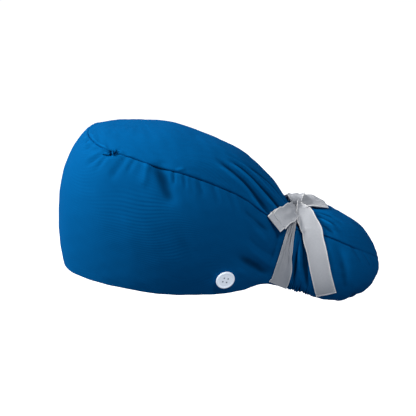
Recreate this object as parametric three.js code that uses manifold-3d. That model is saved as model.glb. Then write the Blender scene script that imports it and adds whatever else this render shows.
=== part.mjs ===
// A surgical scrub cap with a ribbon-tied pouch, in millimetres.
// +Z is up, the forehead faces -Y, the pouch +Y, and the wearer's left side +X.
// The origin is the middle of the head opening, level with the hem at the forehead.

import * as THREE from "three";
import Module from "manifold-3d";

// Head
const OPENING_LENGTH = 206; // from the hem at the forehead to the back of the head
const OPENING_WIDTH = 152;
const CROWN_HEIGHT = 144;
const EAR_DROP = 11; // how far the hem dips behind the ears

// Neck, where the ribbon draws the cloth together
const TIE_SETBACK = 128;
const TIE_WIDTH = 82;
const TIE_HEIGHT = 56;

// Pouch for the hair
const POUCH_LENGTH = 86;
const POUCH_WIDTH = 120;
const POUCH_DROP = 42; // how far it hangs below the head opening

// Cloth
const CLOTH = 1.2;
const SEAM_GAP = 0.4;
const RUFFLE_DEPTH = 1.6;
const RUFFLE_REACH = 0.12; // level up the band at which the ruffles have mostly died out
const RUFFLES_PER_MERIDIAN = 2;
const FOLD_WIDTH = 10; // of a fold whose share is 1
const FOLD_DEPTH = 2;

// Ribbon
const RIBBON_WIDTH = 20;
const RIBBON_THICKNESS = 0.9;
const LAY_GAP = 0.7; // clearance under what lies on the cloth
const LEFT_LOOP_LENGTH = 44;
const RIGHT_LOOP_LENGTH = 34;
const LEFT_TAIL_LENGTH = 101;
const RIGHT_TAIL_LENGTH = 95;
const LOOP_RISE = 9; // how high the upper layer of a loop stands over the cloth
const TAIL_ARCH = 10; // how high a tail arches over what it lies on, where its share is 1
const KNOT_LENGTH = 10;
const KNOT_WIDTH = 8;
const KNOT_HEIGHT = 7;

// Buttons
const BUTTON_DIAMETER = 19;
const BUTTON_THICKNESS = 3;
const BUTTON_RIM = 1.8;
const BUTTON_DISH = 0.8; // depth of the face below the rim
const BUTTON_HOLE = 1.7;
const BUTTON_HOLE_PITCH = 4.2;

// How many steps the ribbons' paths take, and sides the round pieces have
const STRAP_STEPS = 14;
const TAIL_STEPS = 13;
const LOOP_STEPS = 19;
const KNOT_SIDES = 14;
const KNOT_ROWS = 10;
const BUTTON_SIDES = 22;
const HOLE_SIDES = 8;

// How fine the cloth is divided
const COLUMNS_PER_HEAD_ROW = 4;
const COLUMNS_PER_POUCH_ROW = 7;
const BAND_LEVELS = [0, 0.05, 0.13, 0.27, 0.43, 0.59, 0.74, 0.87, 0.95, 1];
const TOP_LEVELS = [1.08, 1.25, 1.5, 1.75, 2];

// A row's lengths are shares of its zone's sizes: half the width, the place that backward shares
// start from and their length, the height above the opening and the depth below it.
const ZONES = {
  head: { half: OPENING_WIDTH / 2, start: 0, reach: OPENING_LENGTH / 2, rise: CROWN_HEIGHT, drop: EAR_DROP },
  tie: { half: TIE_WIDTH / 2, start: TIE_SETBACK, reach: POUCH_LENGTH, rise: TIE_HEIGHT, drop: EAR_DROP },
  pouch: {
    half: POUCH_WIDTH / 2, start: TIE_SETBACK, reach: POUCH_LENGTH, rise: TIE_HEIGHT, drop: POUCH_DROP,
  },
};

// One row for each meridian of the left side, from the middle of the forehead to the middle of the
// pouch. Each runs up from the hem, bulging towards the low and the high handle, to the seam of the
// top panel, and over that panel to its crest. Values are [out, back, up], and the crest's [back, up].
const MERIDIANS = [
  { zone: "head", hem: [0, -1, 0], low: [0, -1.08, 0.26], high: [0, -1.085, 0.78],
    seam: [0, -0.745, 0.94], crest: [-0.39, 0.988] },
  { zone: "head", hem: [0.45, -0.91, 0], low: [0.47, -0.99, 0.26], high: [0.49, -1, 0.76],
    seam: [0.37, -0.695, 0.935], crest: [-0.32, 0.989] },
  { zone: "head", hem: [0.76, -0.66, -0.2], low: [0.83, -0.72, 0.235], high: [0.87, -0.75, 0.72],
    seam: [0.645, -0.545, 0.907], crest: [-0.21, 0.989] },
  { zone: "head", hem: [0.92, -0.37, -0.45], low: [1.03, -0.4, 0.195], high: [1.08, -0.41, 0.68],
    seam: [0.765, -0.32, 0.876], crest: [-0.08, 0.984] },
  { zone: "head", hem: [0.96, -0.08, -0.8], low: [1.12, -0.08, 0.18], high: [1.18, -0.08, 0.64],
    seam: [0.83, -0.08, 0.822], crest: [0.12, 0.966] },
  { zone: "head", hem: [0.94, 0.21, -1.04], low: [1.13, 0.21, 0.15], high: [1.2, 0.2, 0.585],
    seam: [0.83, 0.195, 0.765], crest: [0.31, 0.923] },
  { zone: "head", hem: [0.88, 0.485, -1.12], low: [1.08, 0.485, 0.14], high: [1.13, 0.475, 0.515],
    seam: [0.75, 0.465, 0.68], crest: [0.525, 0.863] },
  { zone: "head", hem: [0.755, 0.74, -0.98], low: [0.95, 0.74, 0.125], high: [0.975, 0.74, 0.417],
    seam: [0.63, 0.74, 0.566], crest: [0.775, 0.758] },
  { zone: "tie", hem: [1.12, -0.395, -0.83], low: [1.39, -0.395, 0.25], high: [1.41, -0.35, 0.79],
    seam: [0.98, -0.35, 1.115], crest: [-0.255, 1.515] },
  { zone: "tie", hem: [1, -0.21, -1.05], low: [1.02, -0.175, 0.06], high: [1, -0.09, 0.54],
    seam: [0.76, -0.045, 0.8], crest: [0, 1.01] },
  { zone: "pouch", hem: [0.67, 0.02, -0.45], low: [0.79, 0.035, -0.3], high: [0.85, 0.115, 0.34],
    seam: [0.59, 0.185, 0.76], crest: [0.235, 0.995] },
  { zone: "pouch", hem: [0.63, 0.25, -0.6], low: [0.86, 0.3, -0.72], high: [1, 0.37, 0.2],
    seam: [0.63, 0.42, 0.65], crest: [0.41, 0.97] },
  { zone: "pouch", hem: [0.47, 0.45, -0.68], low: [0.73, 0.61, -0.91], high: [0.96, 0.81, 0.06],
    seam: [0.55, 0.66, 0.46], crest: [0.55, 0.865] },
  { zone: "pouch", hem: [0.24, 0.56, -0.73], low: [0.37, 0.8, -0.88], high: [0.53, 1.05, -0.15],
    seam: [0.33, 0.875, 0.25], crest: [0.65, 0.775] },
  { zone: "pouch", hem: [0, 0.585, -0.75], low: [0, 0.85, -0.88], high: [0, 1.05, -0.38],
    seam: [0, 0.985, 0.08], crest: [0.72, 0.69] },
];
const LAST_MERIDIAN = MERIDIANS.length - 1;
const ROUND = 2 * LAST_MERIDIAN; // meridians in the whole round, both sides
const TIE_MERIDIAN = 9; // the one that the ribbon crosses on the crest
const POUCH_START = 9;
const POUCH_END = ROUND - POUCH_START;

// Folds of the cloth, the same on both sides, each along a line from one [meridian, level] to another.
// Level 0 is the hem, 1 the seam and 2 the crest. Widths and depths are shares of the fold sizes.
const FOLDS = [
  { name: "pucker at the temple", from: [2.2, 1.02], to: [1.3, 0.74], width: 0.6, depth: 1.3 },
  { name: "gather over the temple", from: [2.9, 1.02], to: [2.45, 0.74], width: 0.6, depth: 1.1 },
  { name: "ridge over the ear", from: [3.6, 1], to: [3.55, 0.72], width: 0.7, depth: -0.8 },
  { name: "gather over the ear", from: [4.05, 1.02], to: [4.15, 0.72], width: 0.8, depth: 1.3 },
  { name: "gather behind the ear", from: [4.75, 1.02], to: [4.75, 0.8], width: 0.6, depth: 0.9 },
  { name: "gather over the nape", from: [5.5, 1.02], to: [5.7, 0.78], width: 0.6, depth: 0.9 },
  { name: "gather before the ribbon", from: [6.5, 1.02], to: [6.8, 0.78], width: 0.6, depth: 0.9 },
  { name: "upper fold to the knot", from: [6.2, 1.5], to: [9, 1.68], width: 0.5, depth: 1.2 },
  { name: "lower fold to the knot", from: [5.6, 1.47], to: [8.4, 1.12], width: 0.5, depth: 1 },
  { name: "crease into the ribbon", from: [6, 0.42], to: [8.6, 0.03], width: 0.9, depth: 1.5 },
  { name: "crease before the ribbon", from: [8.2, 1.1], to: [8.05, 0.15], width: 0.7, depth: 1 },
  { name: "crease behind the ribbon", from: [9.5, 1.5], to: [9.8, 0.35], width: 0.5, depth: 1.5 },
  { name: "fold under the tail", from: [9.9, 0.95], to: [10.6, 0.2], width: 0.6, depth: 1 },
  { name: "fold from the knot", from: [9.4, 1.9], to: [11.2, 1.68], width: 0.5, depth: 0.9 },
  { name: "fold of the pouch", from: [11.4, 0.95], to: [11.9, 0.3], width: 0.8, depth: 0.9 },
];
// The mean distance between meridians, and up a level.
const FOLD_SPACING = { meridian: OPENING_LENGTH / 8, level: (CROWN_HEIGHT * 5) / 6 };

// The ribbon from the hem up over the neck, with half its drawn-in width at each level.
const STRAP = [
  { level: 0.01, meridian: 9, half: 1 },
  { level: 0.18, meridian: 9.1, half: 1 },
  { level: 0.38, meridian: 9.1, half: 0.98 },
  { level: 0.58, meridian: 9.05, half: 0.8 },
  { level: 0.79, meridian: 9, half: 0.6 },
  { level: 1, meridian: 9, half: 0.42 },
  { level: 1.3, meridian: 9, half: 0.36 },
  { level: 1.84, meridian: 9, half: 0.3 },
];

// A loop's ribbon out along the cloth and back over itself: reach along the loop, height as a share
// of its rise, and half its width.
const LOOP = [
  { reach: 0.17, height: 0.2, half: 0.34 },
  { reach: 0.45, height: 0.2, half: 0.74 },
  { reach: 0.75, height: 0.21, half: 0.98 },
  { reach: 0.96, height: 0.24, half: 1 },
  { reach: 1, height: 0.46, half: 1 },
  { reach: 0.96, height: 0.68, half: 1 },
  { reach: 0.75, height: 0.86, half: 0.98 },
  { reach: 0.45, height: 1, half: 0.84 },
  { reach: 0.17, height: 0.72, half: 0.42 },
];
// The left loop stands free of the cloth and turns its face out and up. The right one lies along it.
const LOOPS = {
  left: { tip: { meridian: 8.3, level: 0.92 }, length: LEFT_LOOP_LENGTH, free: 1 },
  right: { tip: { meridian: 10.75, level: 1.78 }, length: RIGHT_LOOP_LENGTH, free: 0 },
};
const FREE_LOOP_ACROSS = new THREE.Vector3(-0.23, -0.67, 0.71).normalize();

// The free ends: the left one lies back over the pouch, the right one stands up off the knot, arches
// over and falls forward of the neck, over the strap. Arch is a share of the tails' arch, half of half
// the width, and free how far the ribbon runs straight across instead of bending with the cloth.
const LEFT_TAIL = [
  { meridian: 9.27, level: 1.86, arch: 0.22, half: 0.4, free: 0 },
  { meridian: 9.48, level: 1.6, arch: 0.17, half: 0.88, free: 0 },
  { meridian: 9.82, level: 1.28, arch: 0.09, half: 1, free: 0 },
  { meridian: 10.12, level: 0.97, arch: 0.03, half: 1, free: 0 },
  { meridian: 10.5, level: 0.79, arch: 0.03, half: 1, free: 0 },
  { meridian: 10.85, level: 0.58, arch: 0.03, half: 1, free: 0 },
  { meridian: 11.18, level: 0.36, arch: 0.17, half: 1, free: 0 },
];
const RIGHT_TAIL = [
  { meridian: 8.92, level: 1.84, arch: 0.25, half: 0.45, free: 1 },
  { meridian: 8.73, level: 1.82, arch: 0.5, half: 0.64, free: 1 },
  { meridian: 8.62, level: 1.7, arch: 0.66, half: 0.78, free: 1 },
  { meridian: 8.62, level: 1.46, arch: 0.6, half: 0.92, free: 1 },
  { meridian: 8.6, level: 1.18, arch: 0.35, half: 1, free: 0.7 },
  { meridian: 8.54, level: 0.93, arch: 0.1, half: 1, free: 0.2 },
  { meridian: 8.48, level: 0.72, arch: 0.02, half: 1, free: 0 },
  { meridian: 8.42, level: 0.5, arch: 0, half: 1, free: 0 },
  { meridian: 8.4, level: 0.3, arch: 0, half: 1, free: 0 },
];
const BACKWARD = new THREE.Vector3(0, 1, 0);

// The buttons' place on the band.
const BUTTON_PLACE = { meridian: 6.3, level: 0.17 };

function cubic(a, b, c, d, t) {
  const s = 1 - t;
  return new THREE.Vector3()
    .addScaledVector(a, s * s * s)
    .addScaledVector(b, 3 * s * s * t)
    .addScaledVector(c, 3 * s * t * t)
    .addScaledVector(d, t * t * t);
}

// A closed loop of points, one a meridian, from one column of the table and its mirror image.
function roundLoop(pointOf) {
  const left = MERIDIANS.map(pointOf);
  const right = left.slice(1, -1).reverse().map((p) => new THREE.Vector3(-p.x, p.y, p.z));
  return left.concat(right);
}

function tablePoint(row, share) {
  const zone = ZONES[row.zone];
  const [out, back, up] = share;
  const height = up * (up < 0 ? zone.drop : zone.rise);
  return new THREE.Vector3(out * zone.half, zone.start + back * zone.reach, height);
}

const EDGES = {};
for (const name of ["hem", "low", "high", "seam"]) {
  EDGES[name] = roundLoop((row) => tablePoint(row, row[name]));
}
EDGES.crest = roundLoop((row) => tablePoint(row, [0, ...row.crest]));

// The crest's climb at each meridian, as a rise in height for each millimetre backwards.
EDGES.climb = roundLoop((row, i) => {
  const ahead = EDGES.crest[Math.max(i - 1, 0)];
  const behind = EDGES.crest[Math.min(i + 1, LAST_MERIDIAN)];
  return new THREE.Vector3(0, 1, (behind.z - ahead.z) / (behind.y - ahead.y));
});

// A point between the meridians, on the smooth closed curve through a loop's points.
function along(name, meridian) {
  const loop = EDGES[name];
  const first = Math.floor(meridian);
  const t = meridian - first;
  const at = (offset) => loop[(first + offset + 2 * ROUND) % ROUND];
  const tangent = (a, b) => b.clone().sub(a).divideScalar(6);
  const start = at(0).clone().add(tangent(at(-1), at(1)));
  const end = at(1).clone().sub(tangent(at(0), at(2)));
  return cubic(at(0), start, end, at(1), t);
}

// The cloth without its folds. The top panel leaves the seam steeply and arrives level at the crest.
const SHOULDER = new THREE.Vector3(0.22, 0.22, 0.62);
function smoothCloth(meridian, level) {
  const seam = along("seam", meridian);
  if (level <= 1) {
    return cubic(along("hem", meridian), along("low", meridian), along("high", meridian), seam, level);
  }
  const crest = along("crest", meridian);
  const climb = along("climb", meridian).z;
  const shoulder = seam.clone().add(crest.clone().sub(seam).multiply(SHOULDER));
  const back = seam.y - crest.y;
  const arrival = crest.clone().add(new THREE.Vector3(seam.x / 2, back / 2, (climb * back) / 2));
  return cubic(seam, shoulder, arrival, crest, level - 1);
}

// How far a fold's line lies from a place on the cloth, and how deep the fold is there: full in the
// middle of its length and nothing at its ends.
function foldDepth(fold, meridian, level) {
  const scale = FOLD_SPACING;
  const span = [(fold.to[0] - fold.from[0]) * scale.meridian, (fold.to[1] - fold.from[1]) * scale.level];
  const here = [(meridian - fold.from[0]) * scale.meridian, (level - fold.from[1]) * scale.level];
  const length = Math.hypot(...span);
  const run = (here[0] * span[0] + here[1] * span[1]) / length;
  const aside = (here[0] * span[1] - here[1] * span[0]) / length;
  const beyond = Math.max(Math.abs(run - length / 2) - length / 4, 0) / (length / 4);
  return fold.depth * FOLD_DEPTH * Math.exp(-((aside / (fold.width * FOLD_WIDTH)) ** 2) - beyond ** 2);
}

// Small waves of the hem where elastic draws it up, dying out upwards.
function ruffle(meridian, level) {
  const drawnUp = THREE.MathUtils.smoothstep(meridian, POUCH_START, POUCH_START + 1);
  const wave = Math.cos(2 * Math.PI * RUFFLES_PER_MERIDIAN * meridian);
  return RUFFLE_DEPTH * drawnUp * wave * Math.exp(-level / RUFFLE_REACH);
}

function relief(meridian, level) {
  const side = Math.min(meridian, ROUND - meridian);
  const folded = FOLDS.reduce((sum, fold) => sum + foldDepth(fold, side, level), 0);
  return ruffle(side, level) - folded;
}

function smoothNormal(meridian, level) {
  const step = 0.01;
  const low = Math.max(level - step, 0);
  const high = Math.min(level + step, level <= 1 ? 1 : 2 - step);
  const around = smoothCloth(meridian + step, level).sub(smoothCloth(meridian - step, level));
  const up = smoothCloth(meridian, high).sub(smoothCloth(meridian, Math.min(low, high - step)));
  return around.cross(up).normalize();
}

// The columns of the cloth's grid, closer together round the pouch than round the head.
const COLUMNS = [];
for (let row = 0; row < ROUND; row += 1) {
  const count = row >= POUCH_START && row < POUCH_END ? COLUMNS_PER_POUCH_ROW : COLUMNS_PER_HEAD_ROW;
  for (let i = 0; i < count; i += 1) COLUMNS.push(row + i / count);
}
const LEVELS = BAND_LEVELS.concat(TOP_LEVELS);
const SEAM_ROW = BAND_LEVELS.length - 1;
const CREST_ROW = LEVELS.length - 1;

// Both sides meet on the crest, so a column there is the same as its mirror image.
function crestColumn(row, column) {
  const wrapped = column % COLUMNS.length;
  return row === CREST_ROW ? Math.min(wrapped, (COLUMNS.length - wrapped) % COLUMNS.length) : wrapped;
}

const OUTER = LEVELS.map((level) => COLUMNS.map((meridian) => {
  const point = smoothCloth(meridian, level);
  if (level === 2) return point.add(new THREE.Vector3(0, 0, relief(meridian, level)));
  return point.addScaledVector(smoothNormal(meridian, level), relief(meridian, level));
}));

// The corners of one cell of a grid, in order round it.
function cellCorners(row, column) {
  return [[row, column], [row, column + 1], [row + 1, column + 1], [row + 1, column]];
}

// Normals of the whole folded cloth, shared across the seam so that both pieces are mitred there.
function clothNormals() {
  const sums = OUTER.map((row) => row.map(() => new THREE.Vector3()));
  for (let row = 0; row < CREST_ROW; row += 1) {
    for (let column = 0; column < COLUMNS.length; column += 1) {
      const corners = cellCorners(row, column).map(([r, c]) => [r, crestColumn(r, c)]);
      const [a, b, c, d] = corners.map(([r, k]) => OUTER[r][k]);
      const facing = c.clone().sub(a).cross(d.clone().sub(b));
      for (const [r, k] of corners) sums[r][k].add(facing);
    }
  }
  return sums.map((row, r) => row.map((_, c) => sums[r][crestColumn(r, c)].clone().normalize()));
}
const NORMALS = clothNormals();
const INNER = OUTER.map((row, r) => row.map((point, c) => (
  point.clone().addScaledVector(NORMALS[r][c], -CLOTH))));

// Triangles for a wall between two grids of points: both faces, and a rim along each open edge.
function wall(outer, inner, { wraps = false, ridge = false } = {}) {
  const rows = outer.length;
  const columns = outer[0].length;
  const mirrored = (column) => Math.min(column, (columns - column) % columns);
  const vertex = (grid, row, column) => {
    const wrapped = column % columns;
    return grid[row][ridge && row === rows - 1 ? mirrored(wrapped) : wrapped];
  };
  const triangles = [];
  const quad = (a, b, c, d) => triangles.push(a, b, c, a, c, d);
  const lastColumn = wraps ? columns : columns - 1;
  for (let row = 0; row < rows - 1; row += 1) {
    for (let column = 0; column < lastColumn; column += 1) {
      const corners = cellCorners(row, column);
      quad(...corners.map(([r, c]) => vertex(outer, r, c)));
      quad(...corners.reverse().map(([r, c]) => vertex(inner, r, c)));
    }
  }
  for (let column = 0; column < lastColumn; column += 1) {
    const next = (column + 1) % columns;
    const top = rows - 1;
    quad(outer[0][column], inner[0][column], inner[0][next], outer[0][next]);
    if (!ridge) quad(outer[top][next], inner[top][next], inner[top][column], outer[top][column]);
  }
  if (!wraps) {
    for (let row = 0; row < rows - 1; row += 1) {
      const end = columns - 1;
      quad(outer[row + 1][0], inner[row + 1][0], inner[row][0], outer[row][0]);
      quad(outer[row][end], inner[row][end], inner[row + 1][end], outer[row + 1][end]);
    }
  }
  const geometry = new THREE.BufferGeometry().setFromPoints(triangles);
  geometry.computeVertexNormals();
  return geometry;
}

// A row of points moved half the seam's gap towards the next row of the same piece.
function trimmed(row, next) {
  return row.map((point, i) => {
    const inward = next[i].clone().sub(point).setLength(SEAM_GAP / 2);
    return point.clone().add(inward);
  });
}

function bandGrid(grid) {
  const rows = grid.slice(0, SEAM_ROW);
  return rows.concat([trimmed(grid[SEAM_ROW], grid[SEAM_ROW - 1])]);
}

function topGrid(grid) {
  return [trimmed(grid[SEAM_ROW], grid[SEAM_ROW + 1])].concat(grid.slice(SEAM_ROW + 1));
}

// A place on the folded cloth, at a height over it, found on the facets that the cloth is made of.
function onCloth(meridian, level, height) {
  const round = ((meridian % ROUND) + ROUND) % ROUND;
  const column = COLUMNS.findLastIndex((value) => value <= round);
  const lowerRow = LEVELS.findLastIndex((value) => value <= level);
  const row = THREE.MathUtils.clamp(lowerRow, 0, CREST_ROW - 1);
  const nextMeridian = column === COLUMNS.length - 1 ? ROUND : COLUMNS[column + 1];
  const across = (round - COLUMNS[column]) / (nextMeridian - COLUMNS[column]);
  const up = (level - LEVELS[row]) / (LEVELS[row + 1] - LEVELS[row]);
  const blend = (grid) => {
    const at = (r, c) => grid[r][crestColumn(r, c)];
    const low = at(row, column).clone().lerp(at(row, column + 1), across);
    return low.lerp(at(row + 1, column).clone().lerp(at(row + 1, column + 1), across), up);
  };
  const normal = blend(NORMALS).normalize();
  return { point: blend(OUTER).addScaledVector(normal, height), normal };
}

// The place on the cloth that lies a given vector away from another place, over the flat there.
function stepOnCloth(meridian, level, vector) {
  const step = 0.02;
  const here = onCloth(meridian, level, 0).point;
  const around = onCloth(meridian + step, level, 0).point.sub(here).divideScalar(step);
  const down = here.clone().sub(onCloth(meridian, level - step, 0).point).divideScalar(step);
  const aa = around.dot(around);
  const ab = around.dot(down);
  const bb = down.dot(down);
  const av = around.dot(vector);
  const bv = down.dot(vector);
  const scale = aa * bb - ab * ab;
  return [meridian + (av * bb - bv * ab) / scale, level + (bv * aa - av * ab) / scale];
}

// Points evenly along a table of rows, with each named value on a smooth curve through the rows.
function alongRows(rows, names, count) {
  const curves = names.map((name) => new THREE.CatmullRomCurve3(
    rows.map((row, i) => new THREE.Vector3(i, row[name], 0)), false, "catmullrom"));
  return Array.from({ length: count }, (_, i) => {
    const t = i / (count - 1);
    return Object.fromEntries(names.map((name, k) => [name, curves[k].getPoint(t).y]));
  });
}

// The direction of a path at one of its places, from the place before to the place after.
function heading(centres, i) {
  const after = centres[Math.min(i + 1, centres.length - 1)].point;
  return after.clone().sub(centres[Math.max(i - 1, 0)].point);
}

// Five spots across a ribbon at one place of its path. Each lies as high over the cloth as that place
// or, where the ribbon is free, straight across from it; no spot lies lower than the ribbon rests.
const ACROSS = [-1, -0.5, 0, 0.5, 1];
function spotsAcross(place, direction) {
  const edge = place.half * (RIBBON_WIDTH / 2);
  const centre = onCloth(place.meridian, place.level, place.height).point;
  return ACROSS.map((share) => {
    const aside = direction.clone().multiplyScalar(share * edge);
    const [meridian, level] = stepOnCloth(place.meridian, place.level, aside);
    const { point, normal } = onCloth(meridian, Math.min(level, 2), place.height);
    const straight = centre.clone().add(aside);
    const height = straight.clone().sub(point).dot(normal) + place.height;
    straight.addScaledVector(normal, Math.max(place.lies - height, 0));
    return { point: point.lerp(straight, place.free), normal };
  });
}

const pointsOf = (spots) => spots.map((spot) => spot.point);

// A ribbon laid over the cloth, flat along it, or straight back where it is free.
function layRibbon(places) {
  const centres = places.map((place) => onCloth(place.meridian, place.level, place.height));
  const directions = places.map((place, i) => (
    heading(centres, i).cross(centres[i].normal).normalize().lerp(BACKWARD, place.free).normalize()));
  const lower = places.map((place, i) => spotsAcross(place, directions[i]));
  const upper = lower.map((spots, i) => {
    const facing = directions[i].clone().cross(heading(centres, i)).normalize();
    return spots.map((spot) => {
      const outward = spot.normal.clone().lerp(facing, places[i].free).normalize();
      return spot.point.clone().addScaledVector(outward, RIBBON_THICKNESS);
    });
  });
  return wall(upper, lower.map(pointsOf));
}

// A place in a table of the left side, mirrored where the piece is on the right.
function onSide(meridian, side) {
  return side > 0 ? meridian : ROUND - meridian;
}

// A path over the cloth, stretched from its first place until it has a given length.
function stretched(places, length) {
  const points = places.map((place) => onCloth(place.meridian, place.level, place.height).point);
  const measured = points.slice(1).reduce((sum, point, i) => sum + point.distanceTo(points[i]), 0);
  return places.map((place) => ({
    ...place,
    meridian: THREE.MathUtils.lerp(places[0].meridian, place.meridian, length / measured),
    level: THREE.MathUtils.lerp(places[0].level, place.level, length / measured),
  }));
}

function strap(side) {
  const laid = { height: LAY_GAP, lies: LAY_GAP, free: 0 };
  const rows = alongRows(STRAP, ["meridian", "level", "half"], STRAP_STEPS);
  return layRibbon(rows.map((row) => ({ ...row, ...laid, meridian: onSide(row.meridian, side) })));
}

function tail({ rows, length, lies }, side) {
  const names = ["meridian", "level", "arch", "half", "free"];
  const places = alongRows(rows, names, TAIL_STEPS).map((row) => (
    { ...row, lies, meridian: onSide(row.meridian, side), height: lies + row.arch * TAIL_ARCH }));
  return layRibbon(stretched(places, length));
}

// A loop is the same flat ribbon laid out from the knot to its tip and back over itself.
function loop({ tip, length, free }, side) {
  const spot = (reach) => ({
    meridian: onSide(THREE.MathUtils.lerp(TIE_MERIDIAN, tip.meridian, reach), side),
    level: THREE.MathUtils.lerp(2, tip.level, reach),
    height: 0,
  });
  const straight = Array.from({ length: LOOP_STEPS }, (_, i) => spot(i / (LOOP_STEPS - 1)));
  const flat = stretched(straight, length);
  const [start, end] = [flat[0], flat[LOOP_STEPS - 1]];
  const places = alongRows(LOOP, ["reach", "height", "half"], LOOP_STEPS).map((row) => ({
    meridian: THREE.MathUtils.lerp(start.meridian, end.meridian, row.reach),
    level: THREE.MathUtils.lerp(start.level, end.level, row.reach),
    height: LAY_GAP + row.height * LOOP_RISE,
    lies: LAY_GAP + row.height * LOOP_RISE,
    half: row.half,
    free,
  }));
  const centres = places.map((place) => onCloth(place.meridian, place.level, place.height));
  const [root, farthest] = [start, end].map((place) => onCloth(place.meridian, place.level, 0).point);
  const outward = farthest.sub(root);
  const across = centres.map((centre) => (
    outward.clone().cross(centre.normal).normalize().lerp(FREE_LOOP_ACROSS, free).normalize()));
  const inner = places.map((place, i) => pointsOf(spotsAcross(place, across[i])));
  const outer = inner.map((points, i) => {
    const facing = across[i].clone().cross(heading(centres, i)).normalize();
    return points.map((point) => point.clone().addScaledVector(facing, RIBBON_THICKNESS));
  });
  return wall(outer, inner);
}

// A button with a raised rim round a dished face and four holes, lying on its back.
function buttonBody(wasm) {
  const radius = BUTTON_DIAMETER / 2;
  const half = BUTTON_THICKNESS / 2;
  const face = half - BUTTON_DISH;
  const back = half * 0.55;
  const profile = [
    [0, -half], [radius * 0.7, -half], [radius * 0.93, -back], [radius, 0],
    [radius * 0.97, half * 0.7], [radius - BUTTON_RIM * 0.5, half], [radius - BUTTON_RIM, half * 0.8],
    [radius - BUTTON_RIM * 1.6, face], [0, face],
  ].map(([x, y]) => new THREE.Vector2(x, y));
  const disc = solid(wasm, new THREE.LatheGeometry(profile, BUTTON_SIDES).rotateX(Math.PI / 2));
  const holes = [[1, 1], [1, -1], [-1, 1], [-1, -1]].map(([x, y]) => {
    const bore = BUTTON_HOLE / 2;
    const hole = new THREE.CylinderGeometry(bore, bore, 2 * BUTTON_THICKNESS, HOLE_SIDES);
    const offset = BUTTON_HOLE_PITCH / 2;
    hole.rotateX(Math.PI / 2).translate(x * offset, y * offset, 0);
    return solid(wasm, hole);
  });
  return meshOf(holes.reduce((body, hole) => body.subtract(hole), disc));
}

// A solid for cutting and joining, its vertices merged to a ten-thousandth of a millimetre.
function solid(wasm, geometry) {
  const points = geometry.toNonIndexed().getAttribute("position");
  const rounded = (value) => Math.round(value * 1e4) / 1e4 + 0;
  const keys = new Map();
  const vertices = [];
  const triangles = [];
  for (let i = 0; i < points.count; i += 1) {
    const place = [points.getX(i), points.getY(i), points.getZ(i)].map(rounded);
    const key = place.join(",");
    if (!keys.has(key)) {
      keys.set(key, keys.size);
      vertices.push(...place);
    }
    triangles.push(keys.get(key));
  }
  const kept = [];
  for (let i = 0; i < triangles.length; i += 3) {
    const [a, b, c] = triangles.slice(i, i + 3);
    if (a !== b && b !== c && c !== a) kept.push(a, b, c);
  }
  return new wasm.Manifold(new wasm.Mesh({
    numProp: 3,
    vertProperties: new Float32Array(vertices),
    triVerts: new Uint32Array(kept),
  }));
}

function meshOf(body) {
  const { vertProperties, triVerts } = body.getMesh();
  const geometry = new THREE.BufferGeometry();
  geometry.setAttribute("position", new THREE.BufferAttribute(vertProperties, 3));
  geometry.setIndex(new THREE.BufferAttribute(triVerts, 1));
  geometry.computeVertexNormals();
  return geometry;
}

function button(geometry, side) {
  const height = LAY_GAP + BUTTON_THICKNESS / 2;
  const place = onCloth(onSide(BUTTON_PLACE.meridian, side), BUTTON_PLACE.level, height);
  const mesh = new THREE.Mesh(geometry, BUTTON_MATERIAL);
  mesh.position.copy(place.point);
  mesh.quaternion.setFromUnitVectors(new THREE.Vector3(0, 0, 1), place.normal);
  return mesh;
}

// The knot: an egg-shaped lump resting over the crest of the neck, its long side across the head.
function knot() {
  const geometry = new THREE.SphereGeometry(0.5, KNOT_SIDES, KNOT_ROWS);
  geometry.scale(KNOT_LENGTH, KNOT_WIDTH, KNOT_HEIGHT);
  const mesh = new THREE.Mesh(geometry, RIBBON_MATERIAL);
  const crest = onCloth(TIE_MERIDIAN, 2, 0);
  mesh.position.copy(crest.point).addScaledVector(crest.normal, KNOT_HEIGHT / 2 + LAY_GAP);
  return mesh;
}

const CLOTH_MATERIAL = new THREE.MeshStandardMaterial({ color: 0x06508c, roughness: 0.75, metalness: 0 });
const RIBBON_MATERIAL = new THREE.MeshStandardMaterial({ color: 0xb8bcc0, roughness: 0.5, metalness: 0 });
const BUTTON_MATERIAL = new THREE.MeshStandardMaterial({ color: 0xd2dae2, roughness: 0.35, metalness: 0 });

const wasm = await Module();
wasm.setup();

const cap = new THREE.Group();
function add(name, mesh) {
  mesh.name = name;
  cap.add(mesh);
}

const cloth = (geometry) => new THREE.Mesh(geometry, CLOTH_MATERIAL);
const ribbon = (geometry) => new THREE.Mesh(geometry, RIBBON_MATERIAL);
add("side_band", cloth(wall(bandGrid(OUTER), bandGrid(INNER), { wraps: true })));
add("top_panel", cloth(wall(topGrid(OUTER), topGrid(INNER), { wraps: true, ridge: true })));
add("ribbon_knot", knot());
const buttonGeometry = buttonBody(wasm);
const STRAP_TOP = LAY_GAP + RIBBON_THICKNESS;
const TAILS = {
  left: { rows: LEFT_TAIL, length: LEFT_TAIL_LENGTH, lies: LAY_GAP },
  right: { rows: RIGHT_TAIL, length: RIGHT_TAIL_LENGTH, lies: STRAP_TOP + LAY_GAP },
};
for (const [name, side] of [["left", 1], ["right", -1]]) {
  add(`ribbon_strap_${name}`, ribbon(strap(side)));
  add(`bow_loop_${name}`, ribbon(loop(LOOPS[name], side)));
  add(`ribbon_tail_${name}`, ribbon(tail(TAILS[name], side)));
  add(`button_${name}`, button(buttonGeometry, side));
}

export default cap;
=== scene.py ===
# Scrub cap. The cloth, the ribbon with its bow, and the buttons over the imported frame, with the camera,
# the lights and the floor. The frame and Blender work in metres, and the shapes here in millimetres.
import math

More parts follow.
